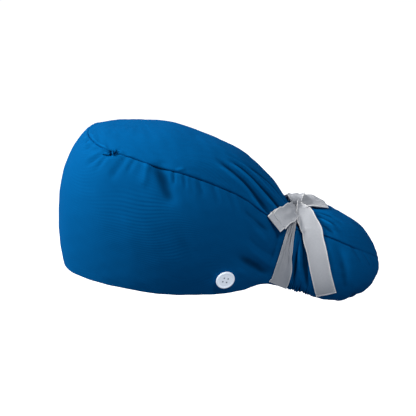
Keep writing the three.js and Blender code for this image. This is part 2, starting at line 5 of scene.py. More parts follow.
import bpy
import numpy as np
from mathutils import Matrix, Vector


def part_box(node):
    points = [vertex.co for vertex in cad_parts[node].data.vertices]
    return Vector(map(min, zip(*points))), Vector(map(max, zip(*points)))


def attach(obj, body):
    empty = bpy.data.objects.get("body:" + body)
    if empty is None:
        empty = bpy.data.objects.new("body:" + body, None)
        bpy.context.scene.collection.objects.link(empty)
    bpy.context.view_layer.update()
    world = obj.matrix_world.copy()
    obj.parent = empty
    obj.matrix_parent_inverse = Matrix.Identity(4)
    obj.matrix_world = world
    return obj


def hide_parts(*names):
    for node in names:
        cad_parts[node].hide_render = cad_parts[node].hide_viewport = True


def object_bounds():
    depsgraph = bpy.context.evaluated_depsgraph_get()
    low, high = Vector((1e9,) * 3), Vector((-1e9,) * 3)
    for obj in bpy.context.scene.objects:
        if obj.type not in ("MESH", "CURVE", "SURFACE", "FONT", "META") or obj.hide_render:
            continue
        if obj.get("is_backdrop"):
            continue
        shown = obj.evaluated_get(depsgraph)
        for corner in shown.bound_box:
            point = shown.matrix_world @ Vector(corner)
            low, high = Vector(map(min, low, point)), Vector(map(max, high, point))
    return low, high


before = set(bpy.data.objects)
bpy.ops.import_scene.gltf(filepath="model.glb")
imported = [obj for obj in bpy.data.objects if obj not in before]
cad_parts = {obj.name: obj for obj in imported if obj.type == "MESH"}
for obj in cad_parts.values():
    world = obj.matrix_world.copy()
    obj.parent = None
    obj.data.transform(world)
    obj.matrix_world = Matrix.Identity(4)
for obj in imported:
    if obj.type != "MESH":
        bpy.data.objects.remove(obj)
cad_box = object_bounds()

# Camera. It looks at the wearer's left side of the cap from a little above, from far enough away
# that the near and the far side keep almost the same scale.
CAMERA_DISTANCE = 2.5
CAMERA_ELEVATION = math.radians(18)
CAMERA_LENS = 216.3
FRAME_CENTRE = (0.0, -0.0112, 0.001)  # from the middle of the cap to the middle of the picture

middle = (cad_box[0] + cad_box[1]) / 2
back = (math.cos(CAMERA_ELEVATION), 0.0, math.sin(CAMERA_ELEVATION))
camera = bpy.data.objects.new("camera", bpy.data.cameras.new("camera"))
camera.data.lens = CAMERA_LENS
camera.location = [m + c + CAMERA_DISTANCE * b for m, c, b in zip(middle, FRAME_CENTRE, back)]
camera.rotation_euler = (math.pi / 2 - CAMERA_ELEVATION, 0, math.pi / 2)
bpy.context.scene.collection.objects.link(camera)
bpy.context.scene.camera = camera


# Shader nodes, joined by Python's operators
class Wire:
    """One value in a shader: a socket of a node tree, which Python's operators join by Math nodes."""

    def __init__(self, tree, socket=None):
        self.tree = tree
        self.socket = socket

    def add(self, kind, settings=None, inputs=None, output=0):
        """Adds a node, sets it up, fills or links its inputs, and gives one of its outputs."""
        node = self.tree.nodes.new(kind)
        for name, value in (settings or {}).items():
            setattr(node, name, value)
        for name, value in (inputs or {}).items():
            if isinstance(value, Wire):
                self.tree.links.new(value.socket, node.inputs[name])
            else:
                node.inputs[name].default_value = value
        return Wire(self.tree, node.outputs[output])

    def math(self, operation, first, second=0.0):
        return self.add("ShaderNodeMath", {"operation": operation}, {0: first, 1: second})

    def __add__(self, other):
        return self.math("ADD", self, other)

    def __mul__(self, other):
        return self.math("MULTIPLY", self, other)

    def __sub__(self, other):
        return self.math("SUBTRACT", self, other)

    def __rsub__(self, other):
        return self.math("SUBTRACT", other, self)

    def wave(self, pitch, phase=0.0):
        """The sine of this length, one whole wave to each pitch."""
        return self.math("SINE", self * (2 * math.pi / pitch) + phase)

    def between(self, low, high):
        """0 below low, 1 above high and smooth in between."""
        return self.add(
            "ShaderNodeMapRange",
            {"interpolation_type": "SMOOTHSTEP"},
            {"Value": self, "From Min": low, "From Max": high},
        )

    def blend(self, first, second):
        """The mix of two colours by this share of the second."""
        mix = {"data_type": "RGBA"}
        return self.add("ShaderNodeMix", mix, {0: self, 6: first, 7: second}, output=2)


def new_material(name, **constants):
    """A material with one Principled shader, its constants set, and a Wire to start its nodes from."""
    material = bpy.data.materials.new(name)
    material.use_nodes = True
    tree = material.node_tree
    shader = tree.nodes["Principled BSDF"]
    for socket, value in constants.items():
        shader.inputs[socket.replace("_", " ").title().replace("Ior", "IOR")].default_value = value
    return material, Wire(tree), shader


def plug(wire, shader, socket):
    wire.tree.links.new(wire.socket, shader.inputs[socket])


def flat_place(wire):
    """Where a point of a surface lies on the flat cloth: the place, how far across and how far up."""
    place = wire.add("ShaderNodeUVMap", {"uv_map": "flat_cloth"})
    across, up = (wire.add("ShaderNodeSeparateXYZ", None, {0: place}, output=k) for k in (0, 1))
    return place, across, up


# Light and floor. One large soft lamp in front of the cap and above it, a weaker and smaller one above
# its left, even light from all round that is bluish on the cap and white to the camera, and a pale
# floor well below the cap, which is held up by its opening. Lengths here are in metres.
# direction, distance, size, power
LAMPS = {
    "key_light": ((0.1, -0.77, 0.63), 2.2, 1.1, 67.0),
    "top_light": ((0.6, 0.3, 0.74), 2.2, 0.5, 14.0),
}
SKY_STRENGTH = 0.19
SKY_COLOUR = (0.86, 0.96, 1.16, 1)
FLOOR_DROP = 0.34
FLOOR_SIZE = 16.0
FLOOR_COLOUR = (0.93, 0.93, 0.93, 1)
FLOOR_GLOW = 0.7
WHITE = (1, 1, 1, 1)

for name, (direction, distance, size, power) in LAMPS.items():
    lamp = bpy.data.objects.new(name, bpy.data.lights.new(name, "AREA"))
    lamp.data.shape = "DISK"
    lamp.data.size = size
    lamp.data.energy = power
    lamp.location = [m + distance * d for m, d in zip(middle, direction)]
    lamp.rotation_euler = (-Vector(direction)).to_track_quat("-Z", "Y").to_euler()
    bpy.context.scene.collection.objects.link(lamp)

world = bpy.data.worlds.new("studio")
world.use_nodes = True
sky = world.node_tree.nodes["Background"]
seen = Wire(world.node_tree).add("ShaderNodeLightPath", output="Is Camera Ray")
plug(seen * (1 - SKY_STRENGTH) + SKY_STRENGTH, sky, "Strength")
plug(seen.blend(SKY_COLOUR, WHITE), sky, "Color")
bpy.context.scene.world = world
bpy.context.scene.view_settings.view_transform = "Standard"

floor_mesh = bpy.data.meshes.new("floor")
half = FLOOR_SIZE / 2
floor_height = cad_box[0].z - FLOOR_DROP
corners = [(x, y, floor_height) for x, y in ((-half, -half), (half, -half), (half, half), (-half, half))]
floor_mesh.from_pydata(corners, [], [(0, 1, 2, 3)])
floor = bpy.data.objects.new("floor", floor_mesh)
floor_paint, wire, shader = new_material("floor_paper", base_color=FLOOR_COLOUR, roughness=0.9)
shader.inputs["Emission Color"].default_value = WHITE
shader.inputs["Emission Strength"].default_value = FLOOR_GLOW
# From below the floor is clear, so that it doesn't hide the underside
clear = wire.add("ShaderNodeBsdfTransparent")
below = wire.add("ShaderNodeNewGeometry", output="Backfacing")
solid_floor = Wire(wire.tree, shader.outputs[0])
shown = wire.add("ShaderNodeMixShader", None, {0: below, 1: solid_floor, 2: clear})
wire.tree.links.new(shown.socket, wire.tree.nodes["Material Output"].inputs["Surface"])
floor_mesh.materials.append(floor_paint)
floor.visible_diffuse = False
floor.visible_glossy = False
bpy.context.scene.collection.objects.link(floor)
floor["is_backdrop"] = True


# Cloth of the cap: a fine plain-woven blue cotton blend, one layer, sewn from a band that goes all
# round and a long oval panel over the top. It is rounded out over the crown, drawn in by the ribbon
# round the neck of the pouch, and gathered by the elastic under it. Lengths from here on are in
# millimetres.
MM = 0.001
band_low, band_high = (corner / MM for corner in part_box("side_band"))
top_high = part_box("top_panel")[1] / MM
knot_low, knot_high = (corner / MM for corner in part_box("ribbon_knot"))

# Sizes that the table of meridians takes its shares of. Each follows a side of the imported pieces' boxes:
# the cloth bulges past some of them and stays inside others.
HEAD_HALF = band_high.x * 0.9026
HEAD_REACH = -band_low.y * 0.9587
CROWN = top_high.z * 1.0107
EAR_DROP = -band_low.z * 0.3316
TIE_HALF = (knot_high.x - knot_low.x) * 4.1
TIE_BACK = knot_low.y * 1.0105
TIE_HEIGHT = knot_low.z * 0.9933
POUCH_HALF = band_high.x * 0.7126
POUCH_REACH = (band_high.y - TIE_BACK) * 1.0027
POUCH_DROP = -band_low.z * 1.2662
CLOTH = 0.8
HEM_DEPTH = 9.0
HEM_EXTRA = 0.7  # how much thicker the turned hem is
HEM_EASE = 1.5  # over how much of its depth that fades

# half width, start backwards, reach backwards, rise, drop
ZONES = {
    "head": (HEAD_HALF, 0.0, HEAD_REACH, CROWN, EAR_DROP),
    "tie": (TIE_HALF, TIE_BACK, POUCH_REACH, TIE_HEIGHT, EAR_DROP),
    "pouch": (POUCH_HALF, TIE_BACK, POUCH_REACH, TIE_HEIGHT, POUCH_DROP),
}
# One row for each meridian of the left side, as (out, back, up) shares of its zone.
# zone, hem, low handle, high handle, seam, crest
MERIDIANS = [
    ("head", (0, -1, 0), (0, -1.08, 0.26), (0, -1.085, 0.78),
     (0, -0.745, 0.94), (0, -0.39, 0.988)),
    ("head", (0.45, -0.91, 0), (0.47, -0.99, 0.26), (0.49, -1, 0.76),
     (0.37, -0.695, 0.935), (0, -0.32, 0.989)),
    ("head", (0.76, -0.66, -0.2), (0.83, -0.72, 0.235), (0.87, -0.75, 0.72),
     (0.645, -0.545, 0.907), (0, -0.21, 0.989)),
    ("head", (0.92, -0.37, -0.45), (1.03, -0.4, 0.195), (1.08, -0.41, 0.68),
     (0.765, -0.32, 0.876), (0, -0.08, 0.984)),
    ("head", (0.96, -0.08, -0.8), (1.12, -0.08, 0.18), (1.18, -0.08, 0.64),
     (0.83, -0.08, 0.822), (0, 0.12, 0.966)),
    ("head", (0.94, 0.21, -1.04), (1.13, 0.21, 0.15), (1.2, 0.2, 0.585),
     (0.83, 0.195, 0.765), (0, 0.31, 0.923)),
    ("head", (0.88, 0.485, -1.12), (1.08, 0.485, 0.14), (1.13, 0.475, 0.515),
     (0.75, 0.465, 0.68), (0, 0.525, 0.863)),
    ("head", (0.755, 0.74, -0.98), (0.95, 0.74, 0.125), (0.975, 0.74, 0.417),
     (0.63, 0.74, 0.566), (0, 0.775, 0.758)),
    ("tie", (1.12, -0.395, -0.83), (1.39, -0.395, 0.25), (1.41, -0.35, 0.79),
     (0.98, -0.35, 1.115), (0, -0.255, 1.515)),
    ("tie", (1, -0.21, -1.05), (1.02, -0.175, 0.06), (1, -0.09, 0.54),
     (0.76, -0.045, 0.8), (0, 0, 1.01)),
    ("pouch", (0.67, 0.02, -0.45), (0.79, 0.035, -0.3), (0.85, 0.115, 0.34),
     (0.59, 0.185, 0.76), (0, 0.235, 0.995)),
    ("pouch", (0.63, 0.25, -0.6), (0.86, 0.3, -0.72), (1, 0.37, 0.2),
     (0.63, 0.42, 0.65), (0, 0.41, 0.97)),
    ("pouch", (0.47, 0.45, -0.68), (0.73, 0.61, -0.91), (0.96, 0.81, 0.06),
     (0.55, 0.66, 0.46), (0, 0.55, 0.865)),
    ("pouch", (0.24, 0.56, -0.73), (0.37, 0.8, -0.88), (0.53, 1.05, -0.15),
     (0.33, 0.875, 0.25), (0, 0.65, 0.775)),
    ("pouch", (0, 0.585, -0.75), (0, 0.85, -0.88), (0, 1.05, -0.38),
     (0, 0.985, 0.08), (0, 0.72, 0.69)),
]
ROUND = 2 * (len(MERIDIANS) - 1)


def table_points(column):
    """The points of one column of the table, round both sides: each share times its zone's size."""
    points = []
    for row in MERIDIANS:
        wide, start, reach, rise, drop = ZONES[row[0]]
        out, behind, up = row[column]
        points.append((out * wide, start + behind * reach, up * (drop if up < 0 else rise)))
    left = np.array(points)
    return np.concatenate([left, left[-2:0:-1] * (-1, 1, 1)])


HEM, LOW, HIGH, SEAM, CREST = (table_points(column) for column in range(1, 6))
crest_side = CREST[: len(MERIDIANS)]
climb_side = np.gradient(crest_side[:, 2], crest_side[:, 1])
CLIMB = np.concatenate([climb_side, climb_side[-2:0:-1]])[:, None]


def between_two(a, b, c, d, t):
    """The smooth curve from b to c that heads along its neighbours a and d."""
    return 0.5 * (2 * b + (c - a) * t + (2 * a - 5 * b + 4 * c - d) * t**2 + (3 * b - a - 3 * c + d) * t**3)


def smooth_round(points, meridian):
    """The closed smooth curve through a loop's points."""
    first = np.floor(meridian).astype(int)
    neighbours = (points[(first + k) % len(points)] for k in (-1, 0, 1, 2))
    return between_two(*neighbours, (meridian - first)[..., None])


def cubic(a, b, c, d, t):
    """A cubic curve from a to d with the handles b and c."""
    return (1 - t) ** 3 * a + 3 * (1 - t) ** 2 * t * b + 3 * (1 - t) * t**2 * c + t**3 * d


# Where the top panel's handle at the seam stands, as shares of the way to the crest: out, back, up
SHOULDER = (0.22, 0.22, 0.62)


def smooth_cloth(meridian, level):
    """The cloth without its folds: up the band from level 0 at the hem to 1 at the seam, and on to 2."""
    seam = smooth_round(SEAM, meridian)
    crest = smooth_round(CREST, meridian)
    up = level[..., None]
    band = cubic(*(smooth_round(loop, meridian) for loop in (HEM, LOW, HIGH)), seam, np.minimum(up, 1))
    shoulder = seam + (crest - seam) * SHOULDER
    behind = seam[..., 1] - crest[..., 1]
    climb = smooth_round(CLIMB, meridian)[..., 0]
    arrival = crest + np.stack([seam[..., 0] / 2, behind / 2, climb * behind / 2], -1)
    panel = cubic(seam, shoulder, arrival, crest, np.maximum(up - 1, 0))
    return np.where(up <= 1, band, panel)


def smoothstep(low, high, value):
    t = np.clip((value - low) / (high - low), 0, 1)
    return t * t * (3 - 2 * t)


def unit(vectors):
    return vectors / np.linalg.norm(vectors, axis=-1, keepdims=True)


def grid_normals(points):
    """Outward normals of a grid whose columns go round: the cross product of its two directions."""
    around = np.roll(points, -1, axis=1) - np.roll(points, 1, axis=1)
    return unit(np.cross(around, np.gradient(points, axis=0)))


# The cloth's grid. Rows lie closer together at the hem and at the seam, where the tucks are. Columns
# lie closest where the elastic gathers the cloth behind the ribbon: each row of their table says up to
# which meridian of the left side it counts, and how many columns there are to a meridian.
MERIDIAN_SPACING = 26.0  # on the flat cloth
BAND_HEIGHT = 135.0  # on the flat cloth, from hem to seam
PANEL_HEIGHT = 75.0  # on the flat cloth, from seam to crest
BAND_STEP = 2.9
TOP_STEP = 1.5
# Distances from the seam and from the hem at which the rows beside them lie
SEAM_STEPS = np.array([0, 0.35, 0.8, 1.4, 2.2, 3.2, 4.4, 5.8, 7.4])
HEM_STEPS = np.array([0, 0.5, 1.2, 2.2, 3.5, 5.2])
COLUMNS_PER_MERIDIAN = [(9, 18), (10.7, 62), (14, 28)]
span = BAND_HEIGHT - SEAM_STEPS[-1] - HEM_STEPS[-1]
plain_steps = np.linspace(0, 1, int(span / BAND_STEP))[1:-1] * span
band_up = np.concatenate([HEM_STEPS, HEM_STEPS[-1] + plain_steps, BAND_HEIGHT - SEAM_STEPS[::-1]])
BAND_ROWS = len(band_up)
span = PANEL_HEIGHT - SEAM_STEPS[-1]
plain_steps = np.linspace(0, 1, int(span / TOP_STEP))[1:] * span
top_up = np.concatenate([SEAM_STEPS, SEAM_STEPS[-1] + plain_steps])
TOP_ROWS = len(top_up)
levels = np.concatenate([band_up / BAND_HEIGHT, 1 + top_up[1:] / PANEL_HEIGHT])
pieces = []
start = 0
for end, count in COLUMNS_PER_MERIDIAN:
    pieces.append(np.arange(start, end, 1 / count))
    start = end
left_columns = np.concatenate(pieces)
meridians = np.concatenate([left_columns, [ROUND / 2], (ROUND - left_columns[:0:-1])])
level_grid, meridian_grid = np.meshgrid(levels, meridians, indexing="ij")
smooth_points = smooth_cloth(meridian_grid, level_grid)
smooth_normals = grid_normals(smooth_points)
smooth_normals[-1] = unit(smooth_normals[-2] * (0, 1, 1))
# Millimetres of cloth to a meridian and to a level, at each point of the grid
turn = (np.roll(meridian_grid, -1, axis=1) - np.roll(meridian_grid, 1, axis=1)) % ROUND
around = np.roll(smooth_points, -1, axis=1) - np.roll(smooth_points, 1, axis=1)
LEAST_AROUND = 4
AROUND = np.maximum(np.linalg.norm(around, axis=-1) / turn, LEAST_AROUND)
UP = np.linalg.norm(np.gradient(smooth_points, axis=0), axis=-1) / np.gradient(level_grid, axis=0)

DEEPEST_DIP = 4.5
HIGHEST_ROLL = 2.4
ROLL_PLACE = 1.9  # from the dip's line to the roll's, in widths of the dip
ROLL_WIDTH = 1.2  # the roll's own width, in widths of the dip
FOLD_LENGTH = 0.46  # from the fold's middle to where it has faded, in lengths of its line
RIGHT_SHIFT = 0.24  # how far the right side's folds are scattered, in meridians
TUCKS = 64  # round the seam of each side
# The tucks' least length down the band, width at the seam and depth, and how much more the largest have
TUCK_REACH = (8, 18)
TUCK_WIDTH = (1.2, 0.9)
TUCK_DEPTH = (0.2, 0.9)
TUCK_WIDENING = 0.12  # for each millimetre down the band
# Folds along a line from one (meridian, level) to another: how wide and how deep the dip is, and how
# high the roll beside it stands, all in millimetres. With meridians drawn to the right and levels
# upwards, the roll lies to the right of the line's course, and one half as high to its left.
FOLDS = [
    # puckers at the temple, where the seam is gathered hardest
    ((2.18, 1.02), (1.5, 0.82), 2.6, 1.5, 0.8),
    ((2.15, 1.0), (1.1, 0.92), 2.0, 1.0, 0.4),
    ((2.25, 1.02), (1.95, 0.84), 2.2, 1.3, 0.6),
    ((2.3, 1.0), (2.8, 0.96), 1.6, 1.0, 0.3),
    ((2.2, 1.0), (1.85, 1.12), 1.8, 0.9, 0.3),
    ((2.3, 1.0), (2.5, 1.14), 1.8, 0.8, 0.3),
    ((2.12, 1.05), (2.3, 0.95), 2.0, 1.8, 0.0),
    # the front of the seam
    ((0.9, 1.0), (0.45, 0.91), 2.4, 1.0, 0.5),
    ((0.6, 1.02), (0.85, 0.93), 2.2, 1.2, 0.5),
    ((1.35, 1.0), (0.95, 0.89), 2.4, 1.1, 0.5),
    # gathers over and behind the ear
    ((2.85, 1.0), (2.5, 0.79), 3.6, 1.0, 0.4),
    ((3.2, 1.0), (2.98, 0.87), 2.4, 0.8, 0.4),
    ((3.66, 1.02), (3.55, 0.8), 3.8, -1.3, 0.0),
    ((3.98, 1.08), (4.5, 0.7), 8.0, 1.9, 0.2),
    ((4.62, 1.02), (4.6, 0.88), 1.6, 1.0, 0.4),
    ((4.95, 1.0), (5.0, 0.88), 1.6, 0.8, 0.4),
    ((5.45, 1.0), (5.62, 0.85), 3.0, 0.7, 0.4),
    ((5.95, 1.0), (6.15, 0.85), 2.6, 0.6, 0.3),
    ((6.5, 1.0), (6.8, 0.83), 3.2, 0.7, 0.3),
    ((4.95, 1.1), (4.7, 1.03), 1.6, -1.0, 0.0),
    # long folds of the top panel and the band, drawn to the knot
    ((6.1, 1.48), (8.3, 1.1), 3.3, 3.4, 1.8),
    ((6.5, 1.6), (8.75, 1.4), 3.0, 3.6, 2.0),
    ((7.1, 1.74), (8.9, 1.82), 2.4, 3.2, 1.4),
    ((6.4, 1.72), (8.4, 1.62), 1.8, 2.2, 1.0),
    ((7.3, 1.18), (8.3, 1.03), 1.8, 1.8, 0.8),
    ((7.0, 0.88), (8.3, 0.8), 4.0, 1.6, 0.9),
    # creases into the foot of the ribbon
    ((6.6, 0.41), (8.7, 0.17), 6.0, 1.6, 1.0),
    ((7.2, 0.62), (8.6, 0.45), 5.0, 1.4, 0.9),
    ((8.6, 0.85), (8.5, 0.35), 2.5, 1.2, 0.0),
    # behind the ribbon
    ((9.15, 1.4), (10.1, 0.45), 2.3, 3.8, 1.6),
    ((9.4, 1.0), (9.75, 0.2), 1.8, 3.0, 1.2),
    ((9.6, 1.25), (10.4, 0.25), 2.6, 3.0, 1.3),
    ((9.35, 0.6), (9.5, 0.05), 1.4, 2.0, 0.8),
    # folds of the pouch, fanning out from the knot
    ((9.3, 1.88), (11.3, 1.66), 2.2, 2.6, 1.4),
    ((9.4, 1.76), (11.5, 1.4), 2.2, 2.2, 1.2),
    ((9.6, 1.6), (11.2, 1.15), 2.6, 1.7, 0.8),
    ((11.3, 0.98), (11.75, 0.45), 5.0, 1.4, 0.8),
    ((12.0, 1.0), (12.25, 0.82), 2.2, 1.0, 0.2),
    ((12.5, 1.0), (12.75, 0.8), 2.4, 1.0, 0.2),
    ((12.85, 1.0), (13.05, 0.78), 2.4, 0.9, 0.2),
    ((13.3, 1.0), (13.4, 0.8), 2.4, 0.7, 0.2),
    ((12.2, 0.45), (12.5, 0.15), 4.5, 1.6, 0.4),
    ((12.5, 0.35), (13.2, 0.2), 2.5, 1.2, 0.2),
]
# How strongly the band is gathered into the seam at each meridian
GATHERING = [(0, 0.25), (1.6, 0.3), (2, 0.7), (2.5, 0.35), (3.4, 0.12), (4, 0.14), (5.1, 0.25), (6.8, 0.2),
             (8, 0.15), (10.5, 0.15), (12, 0.25), (14, 0.2)]


def pseudo(index):
    """A number from 0 to 1 for each index, scattered by the late digits of a sine, the same on each run."""
    return (np.sin(np.asarray(index, float) * 78.233 + 1.7) * 4375.85) % 1.0


def fold_relief(meridian, level, side):
    """Height over the smooth cloth: for each fold a bell-shaped dip across its line and the rolls beside
    it, which fade at both ends. Where folds meet, their sum is held to the deepest dip and the highest
    roll by a hyperbolic tangent. The right side's folds are a little shifted, and most are shallower."""
    height = np.zeros_like(meridian)
    for number, (start, end, width, depth, roll) in enumerate(FOLDS):
        shift = np.where(side > 0, 0.0, RIGHT_SHIFT * (pseudo(number) - 0.5))
        scale = np.where(side > 0, 1.0, 0.55 + 0.5 * pseudo(number + 50))
        along, climb = end[0] - start[0], end[1] - start[1]
        m, l = meridian - start[0] - shift, level - start[1]
        length = np.hypot(along * AROUND, climb * UP)
        run = (m * along * AROUND**2 + l * climb * UP**2) / length**2
        aside = (m * climb - l * along) * AROUND * UP / length
        fade = np.exp(-(((run - 0.5) / FOLD_LENGTH) ** 6))
        dip = depth * np.exp(-((aside / width) ** 2))
        crest = roll * np.exp(-(((aside - ROLL_PLACE * width) / (ROLL_WIDTH * width)) ** 2))
        other = 0.5 * roll * np.exp(-(((aside + ROLL_PLACE * width) / (ROLL_WIDTH * width)) ** 2))
        height += (crest + other - dip) * fade * scale
    limit = np.where(height < 0, DEEPEST_DIP, HIGHEST_ROLL)
    return limit * np.tanh(height / limit)


def gather_relief(meridian, level, side):
    """Small tucks below the seam: narrow dips at scattered places, widening and fading down the band."""
    strength = np.interp(meridian, *np.array(GATHERING).T)
    down = np.maximum(1 - level, 0) * UP
    over = np.maximum(level - 1, 0) * UP
    height = np.zeros_like(meridian)
    for number in range(TUCKS):
        place = (number + 0.7 * (pseudo(number) - 0.5)) * len(MERIDIANS) / TUCKS
        place = place + np.where(side > 0, 0.0, 0.1)
        reach = TUCK_REACH[0] + TUCK_REACH[1] * pseudo(number + 100)
        slant = 0.16 * (pseudo(number + 200) - 0.5)
        width = TUCK_WIDTH[0] + TUCK_WIDTH[1] * pseudo(number + 400) + TUCK_WIDENING * down
        aside = (meridian - place - slant * down / reach) * AROUND
        depth = TUCK_DEPTH[0] + TUCK_DEPTH[1] * pseudo(number + 300) ** 2
        dip = depth * np.exp(-((aside / width) ** 2))
        height -= dip * np.exp(-((down / reach) ** 2)) * np.exp(-((over / 4) ** 2))
    return height * strength


SEAM_DIP = 1.7
SEAM_DIP_WIDTH = 0.75
SEAM_EASED = 1.45  # how much less deep the seam dips at the end of the pouch
SEAM_EASED_SPAN = (11.7, 12.5)  # meridians over which it eases
SEAM_ROLL = 0.3  # how high the cloth stands beside the seam
SEAM_ROLL_PLACE = 4  # how far from the seam that is
SEAM_ROLL_WIDTH = 2.5


def seam_relief(meridian, level):
    """The seam line: both pieces dip into it over a millimetre or two and stand up softly beside it. It
    is drawn in least at the end of the pouch."""
    distance = np.where(level < 1, (1 - level) * BAND_HEIGHT, (level - 1) * PANEL_HEIGHT)
    dip = SEAM_DIP - SEAM_EASED * smoothstep(*SEAM_EASED_SPAN, meridian)
    roll = SEAM_ROLL * np.exp(-(((distance - SEAM_ROLL_PLACE) / SEAM_ROLL_WIDTH) ** 2))
    return roll - dip * np.exp(-((distance / SEAM_DIP_WIDTH) ** 2))


# Meridians over which the elastic begins to draw the hem, its close ruffles end, and its scallops calm
DRAWN_SPAN = (9.3, 9.6)
TIGHT_SPAN = (10.3, 10.9)
CALM_SPAN = (11.8, 12.8)
RUFFLES_PER_MERIDIAN = 8.6
RUFFLE_DEPTH = 2.6
SCALLOP_DEPTH = 0.5


def ruffle_relief(meridian, level, side):
    """Elastic under the pouch: waves of the hem, closest behind the ribbon, that die out upwards. At the
    very hem the ruffles are held flatter by its turned edge."""
    drawn = smoothstep(*DRAWN_SPAN, meridian)
    tight = drawn * (1 - smoothstep(*TIGHT_SPAN, meridian))
    uneven = 0.4 * np.sin(7.1 * meridian)
    phase = 2 * np.pi * (RUFFLES_PER_MERIDIAN * meridian + uneven + np.where(side > 0, 0, 0.3))
    valleys = (0.5 + 0.5 * np.cos(phase)) ** 2
    reach = 0.2 + 0.07 * np.sin(17 * meridian)
    held = 0.4 + 0.6 * smoothstep(0, 0.07, level)
    fine = -RUFFLE_DEPTH * valleys * np.exp(-((level / reach) ** 2)) * held
    scallops = SCALLOP_DEPTH * np.cos(0.3 * phase + 1) * np.exp(-level / 0.1)
    calm = 1 - 0.8 * smoothstep(*CALM_SPAN, meridian)
    return tight * fine + drawn * (scallops * calm)


RIPPLES = [(0.35, 55), (0.12, 14)]  # height and pitch of the cloth's soft unevenness


def ripple(x, y, pitch, count=9):
    """Soft unevenness: sine waves of about one pitch in scattered directions, added up to about one."""
    height = np.zeros_like(x)
    for k in range(count):
        angle = math.pi * float(pseudo(k + 11))
        wave = 2 * math.pi / (pitch * (0.7 + 0.7 * float(pseudo(k + 31))))
        height += np.sin(wave * (x * math.cos(angle) + y * math.sin(angle)) + 2.4 * k)
    return height / math.sqrt(count)


def relief():
    """All that the folds, tucks, seam, ruffles and unevenness add, along the smooth cloth's normal."""
    side = np.where(meridian_grid <= ROUND / 2, 1.0, -1.0)
    mirrored = np.minimum(meridian_grid, ROUND - meridian_grid)
    flat = [meridian_grid * MERIDIAN_SPACING, level_grid * BAND_HEIGHT]
    total = fold_relief(mirrored, level_grid, side) + gather_relief(mirrored, level_grid, side)
    total += ruffle_relief(mirrored, level_grid, side)
    for height, pitch in RIPPLES:
        total += height * ripple(*flat, pitch)
    return total * (1 - smoothstep(1.88, 1.99, level_grid)) + seam_relief(mirrored, level_grid)


mirror = (-np.arange(len(meridians))) % len(meridians)  # the column of each column's mirror image


def raised_cloth(rise):
    """The smooth cloth's grid raised by this much along its normals, and the normals of what comes out.
    Both sides meet on the crest, so there each point is the mean of itself and its mirror image."""
    points = smooth_points + smooth_normals * rise[..., None]
    points[-1] = (points[-1] + points[-1][mirror]) / 2 * (0, 1, 1)
    normals = grid_normals(points)
    normals[-1] = unit((normals[-2] + normals[-2][mirror] * (-1, 1, 1)) * (0, 1, 1))
    return points, normals


cloth_rise = relief()
cloth_points, cloth_normals = raised_cloth(cloth_rise)


def on_cloth(meridian, level, height, points, normals):
    """Places on the cloth and their normals, between the points of its grid, raised by a height."""
    row = np.interp(level, levels, np.arange(len(levels)))
    column = np.interp(meridian % ROUND, np.append(meridians, ROUND), np.arange(len(meridians) + 1))
    r = np.minimum(row.astype(int), len(levels) - 2)
    c = np.minimum(column.astype(int), len(meridians) - 1)
    v, u = (row - r)[..., None], (column - c)[..., None]
    after = (c + 1) % len(meridians)

    def between(grid):
        low = grid[r, c] * (1 - u) + grid[r, after] * u
        high = grid[r + 1, c] * (1 - u) + grid[r + 1, after] * u
        return low * (1 - v) + high * v

    normal = unit(between(normals))
    return between(points) + normal * np.asarray(height)[..., None], normal


def add_mesh(name, vertices, faces, uv, material, depth=None):
    """A mesh piece in millimetres from arrays: unused vertices are dropped, and it shades smoothly. The
    depth of its folds at each vertex is kept for its material."""
    used, place = np.unique(faces, return_inverse=True)
    corners = place.reshape(faces.shape)
    mesh = bpy.data.meshes.new(name)
    mesh.from_pydata((vertices[used] * MM).tolist(), [], corners.tolist())
    layer = mesh.uv_layers.new(name="flat_cloth")
    layer.data.foreach_set("uv", uv.reshape(-1).astype(np.float32))
    mesh.polygons.foreach_set("use_smooth", np.ones(len(mesh.polygons), bool))
    mesh.materials.append(material)
    if depth is not None:
        kept = mesh.attributes.new("fold_depth", "FLOAT", "POINT")
        kept.data.foreach_set("value", depth.reshape(-1)[used].astype(np.float32))
    mesh.validate()
    piece = bpy.data.objects.new(name, mesh)
    bpy.context.scene.collection.objects.link(piece)
    return piece


def vertex_numbers(grid):
    """The number of each vertex of a grid of places, row by row."""
    return np.arange(grid.shape[0] * grid.shape[1]).reshape(grid.shape[:2])


def quads(index, uv, wraps_rows, wraps_columns):
    """Faces of a grid of vertex numbers, with the flat cloth's place of each corner."""
    if wraps_rows:
        index = np.concatenate([index, index[:1]])
        uv = np.concatenate([uv, uv[:1]])
    if wraps_columns:
        index = np.concatenate([index, index[:, :1]], axis=1)
    corners = [(slice(None, -1), slice(None, -1)), (slice(None, -1), slice(1, None)),
               (slice(1, None), slice(1, None)), (slice(1, None), slice(None, -1))]
    faces = np.stack([index[c] for c in corners], -1).reshape(-1, 4)
    places = np.stack([uv[c] for c in corners], -2).reshape(-1, 4, 2)
    return faces, places


def ring_cap(ring):
    """Faces that close a ring of an even number of vertices: strips from one half to the other."""
    half_ring = len(ring) // 2
    near, far = ring[:half_ring], ring[::-1][:half_ring]
    return np.stack([near[:-1], near[1:], far[1:], far[:-1]], -1)


def flat_places(rows_up):
    """The flat cloth's coordinates in millimetres, one column more than the mesh, so that it can wrap."""
    across = np.append(meridians, ROUND) * MERIDIAN_SPACING
    return np.stack(np.broadcast_arrays(across[None], np.asarray(rows_up)[:, None]), -1)


# Colours of the cloth: its deeper and its paler places, the painted shade for the bottom of a fold, the
# painted highlight for the top of a roll, and the tint of its sheen
CLOTH_DEEP = (0.0004, 0.078, 0.238, 1)
CLOTH_PALE = (0.0008, 0.116, 0.335, 1)
DIP_PAINTED_SHADE_COLOUR = (0.0002, 0.02, 0.062, 1)
ROLL_PAINTED_HIGHLIGHT_COLOUR = (0.001, 0.175, 0.5, 1)
SHEEN_COLOUR = (0.0, 0.3, 1.0, 1)
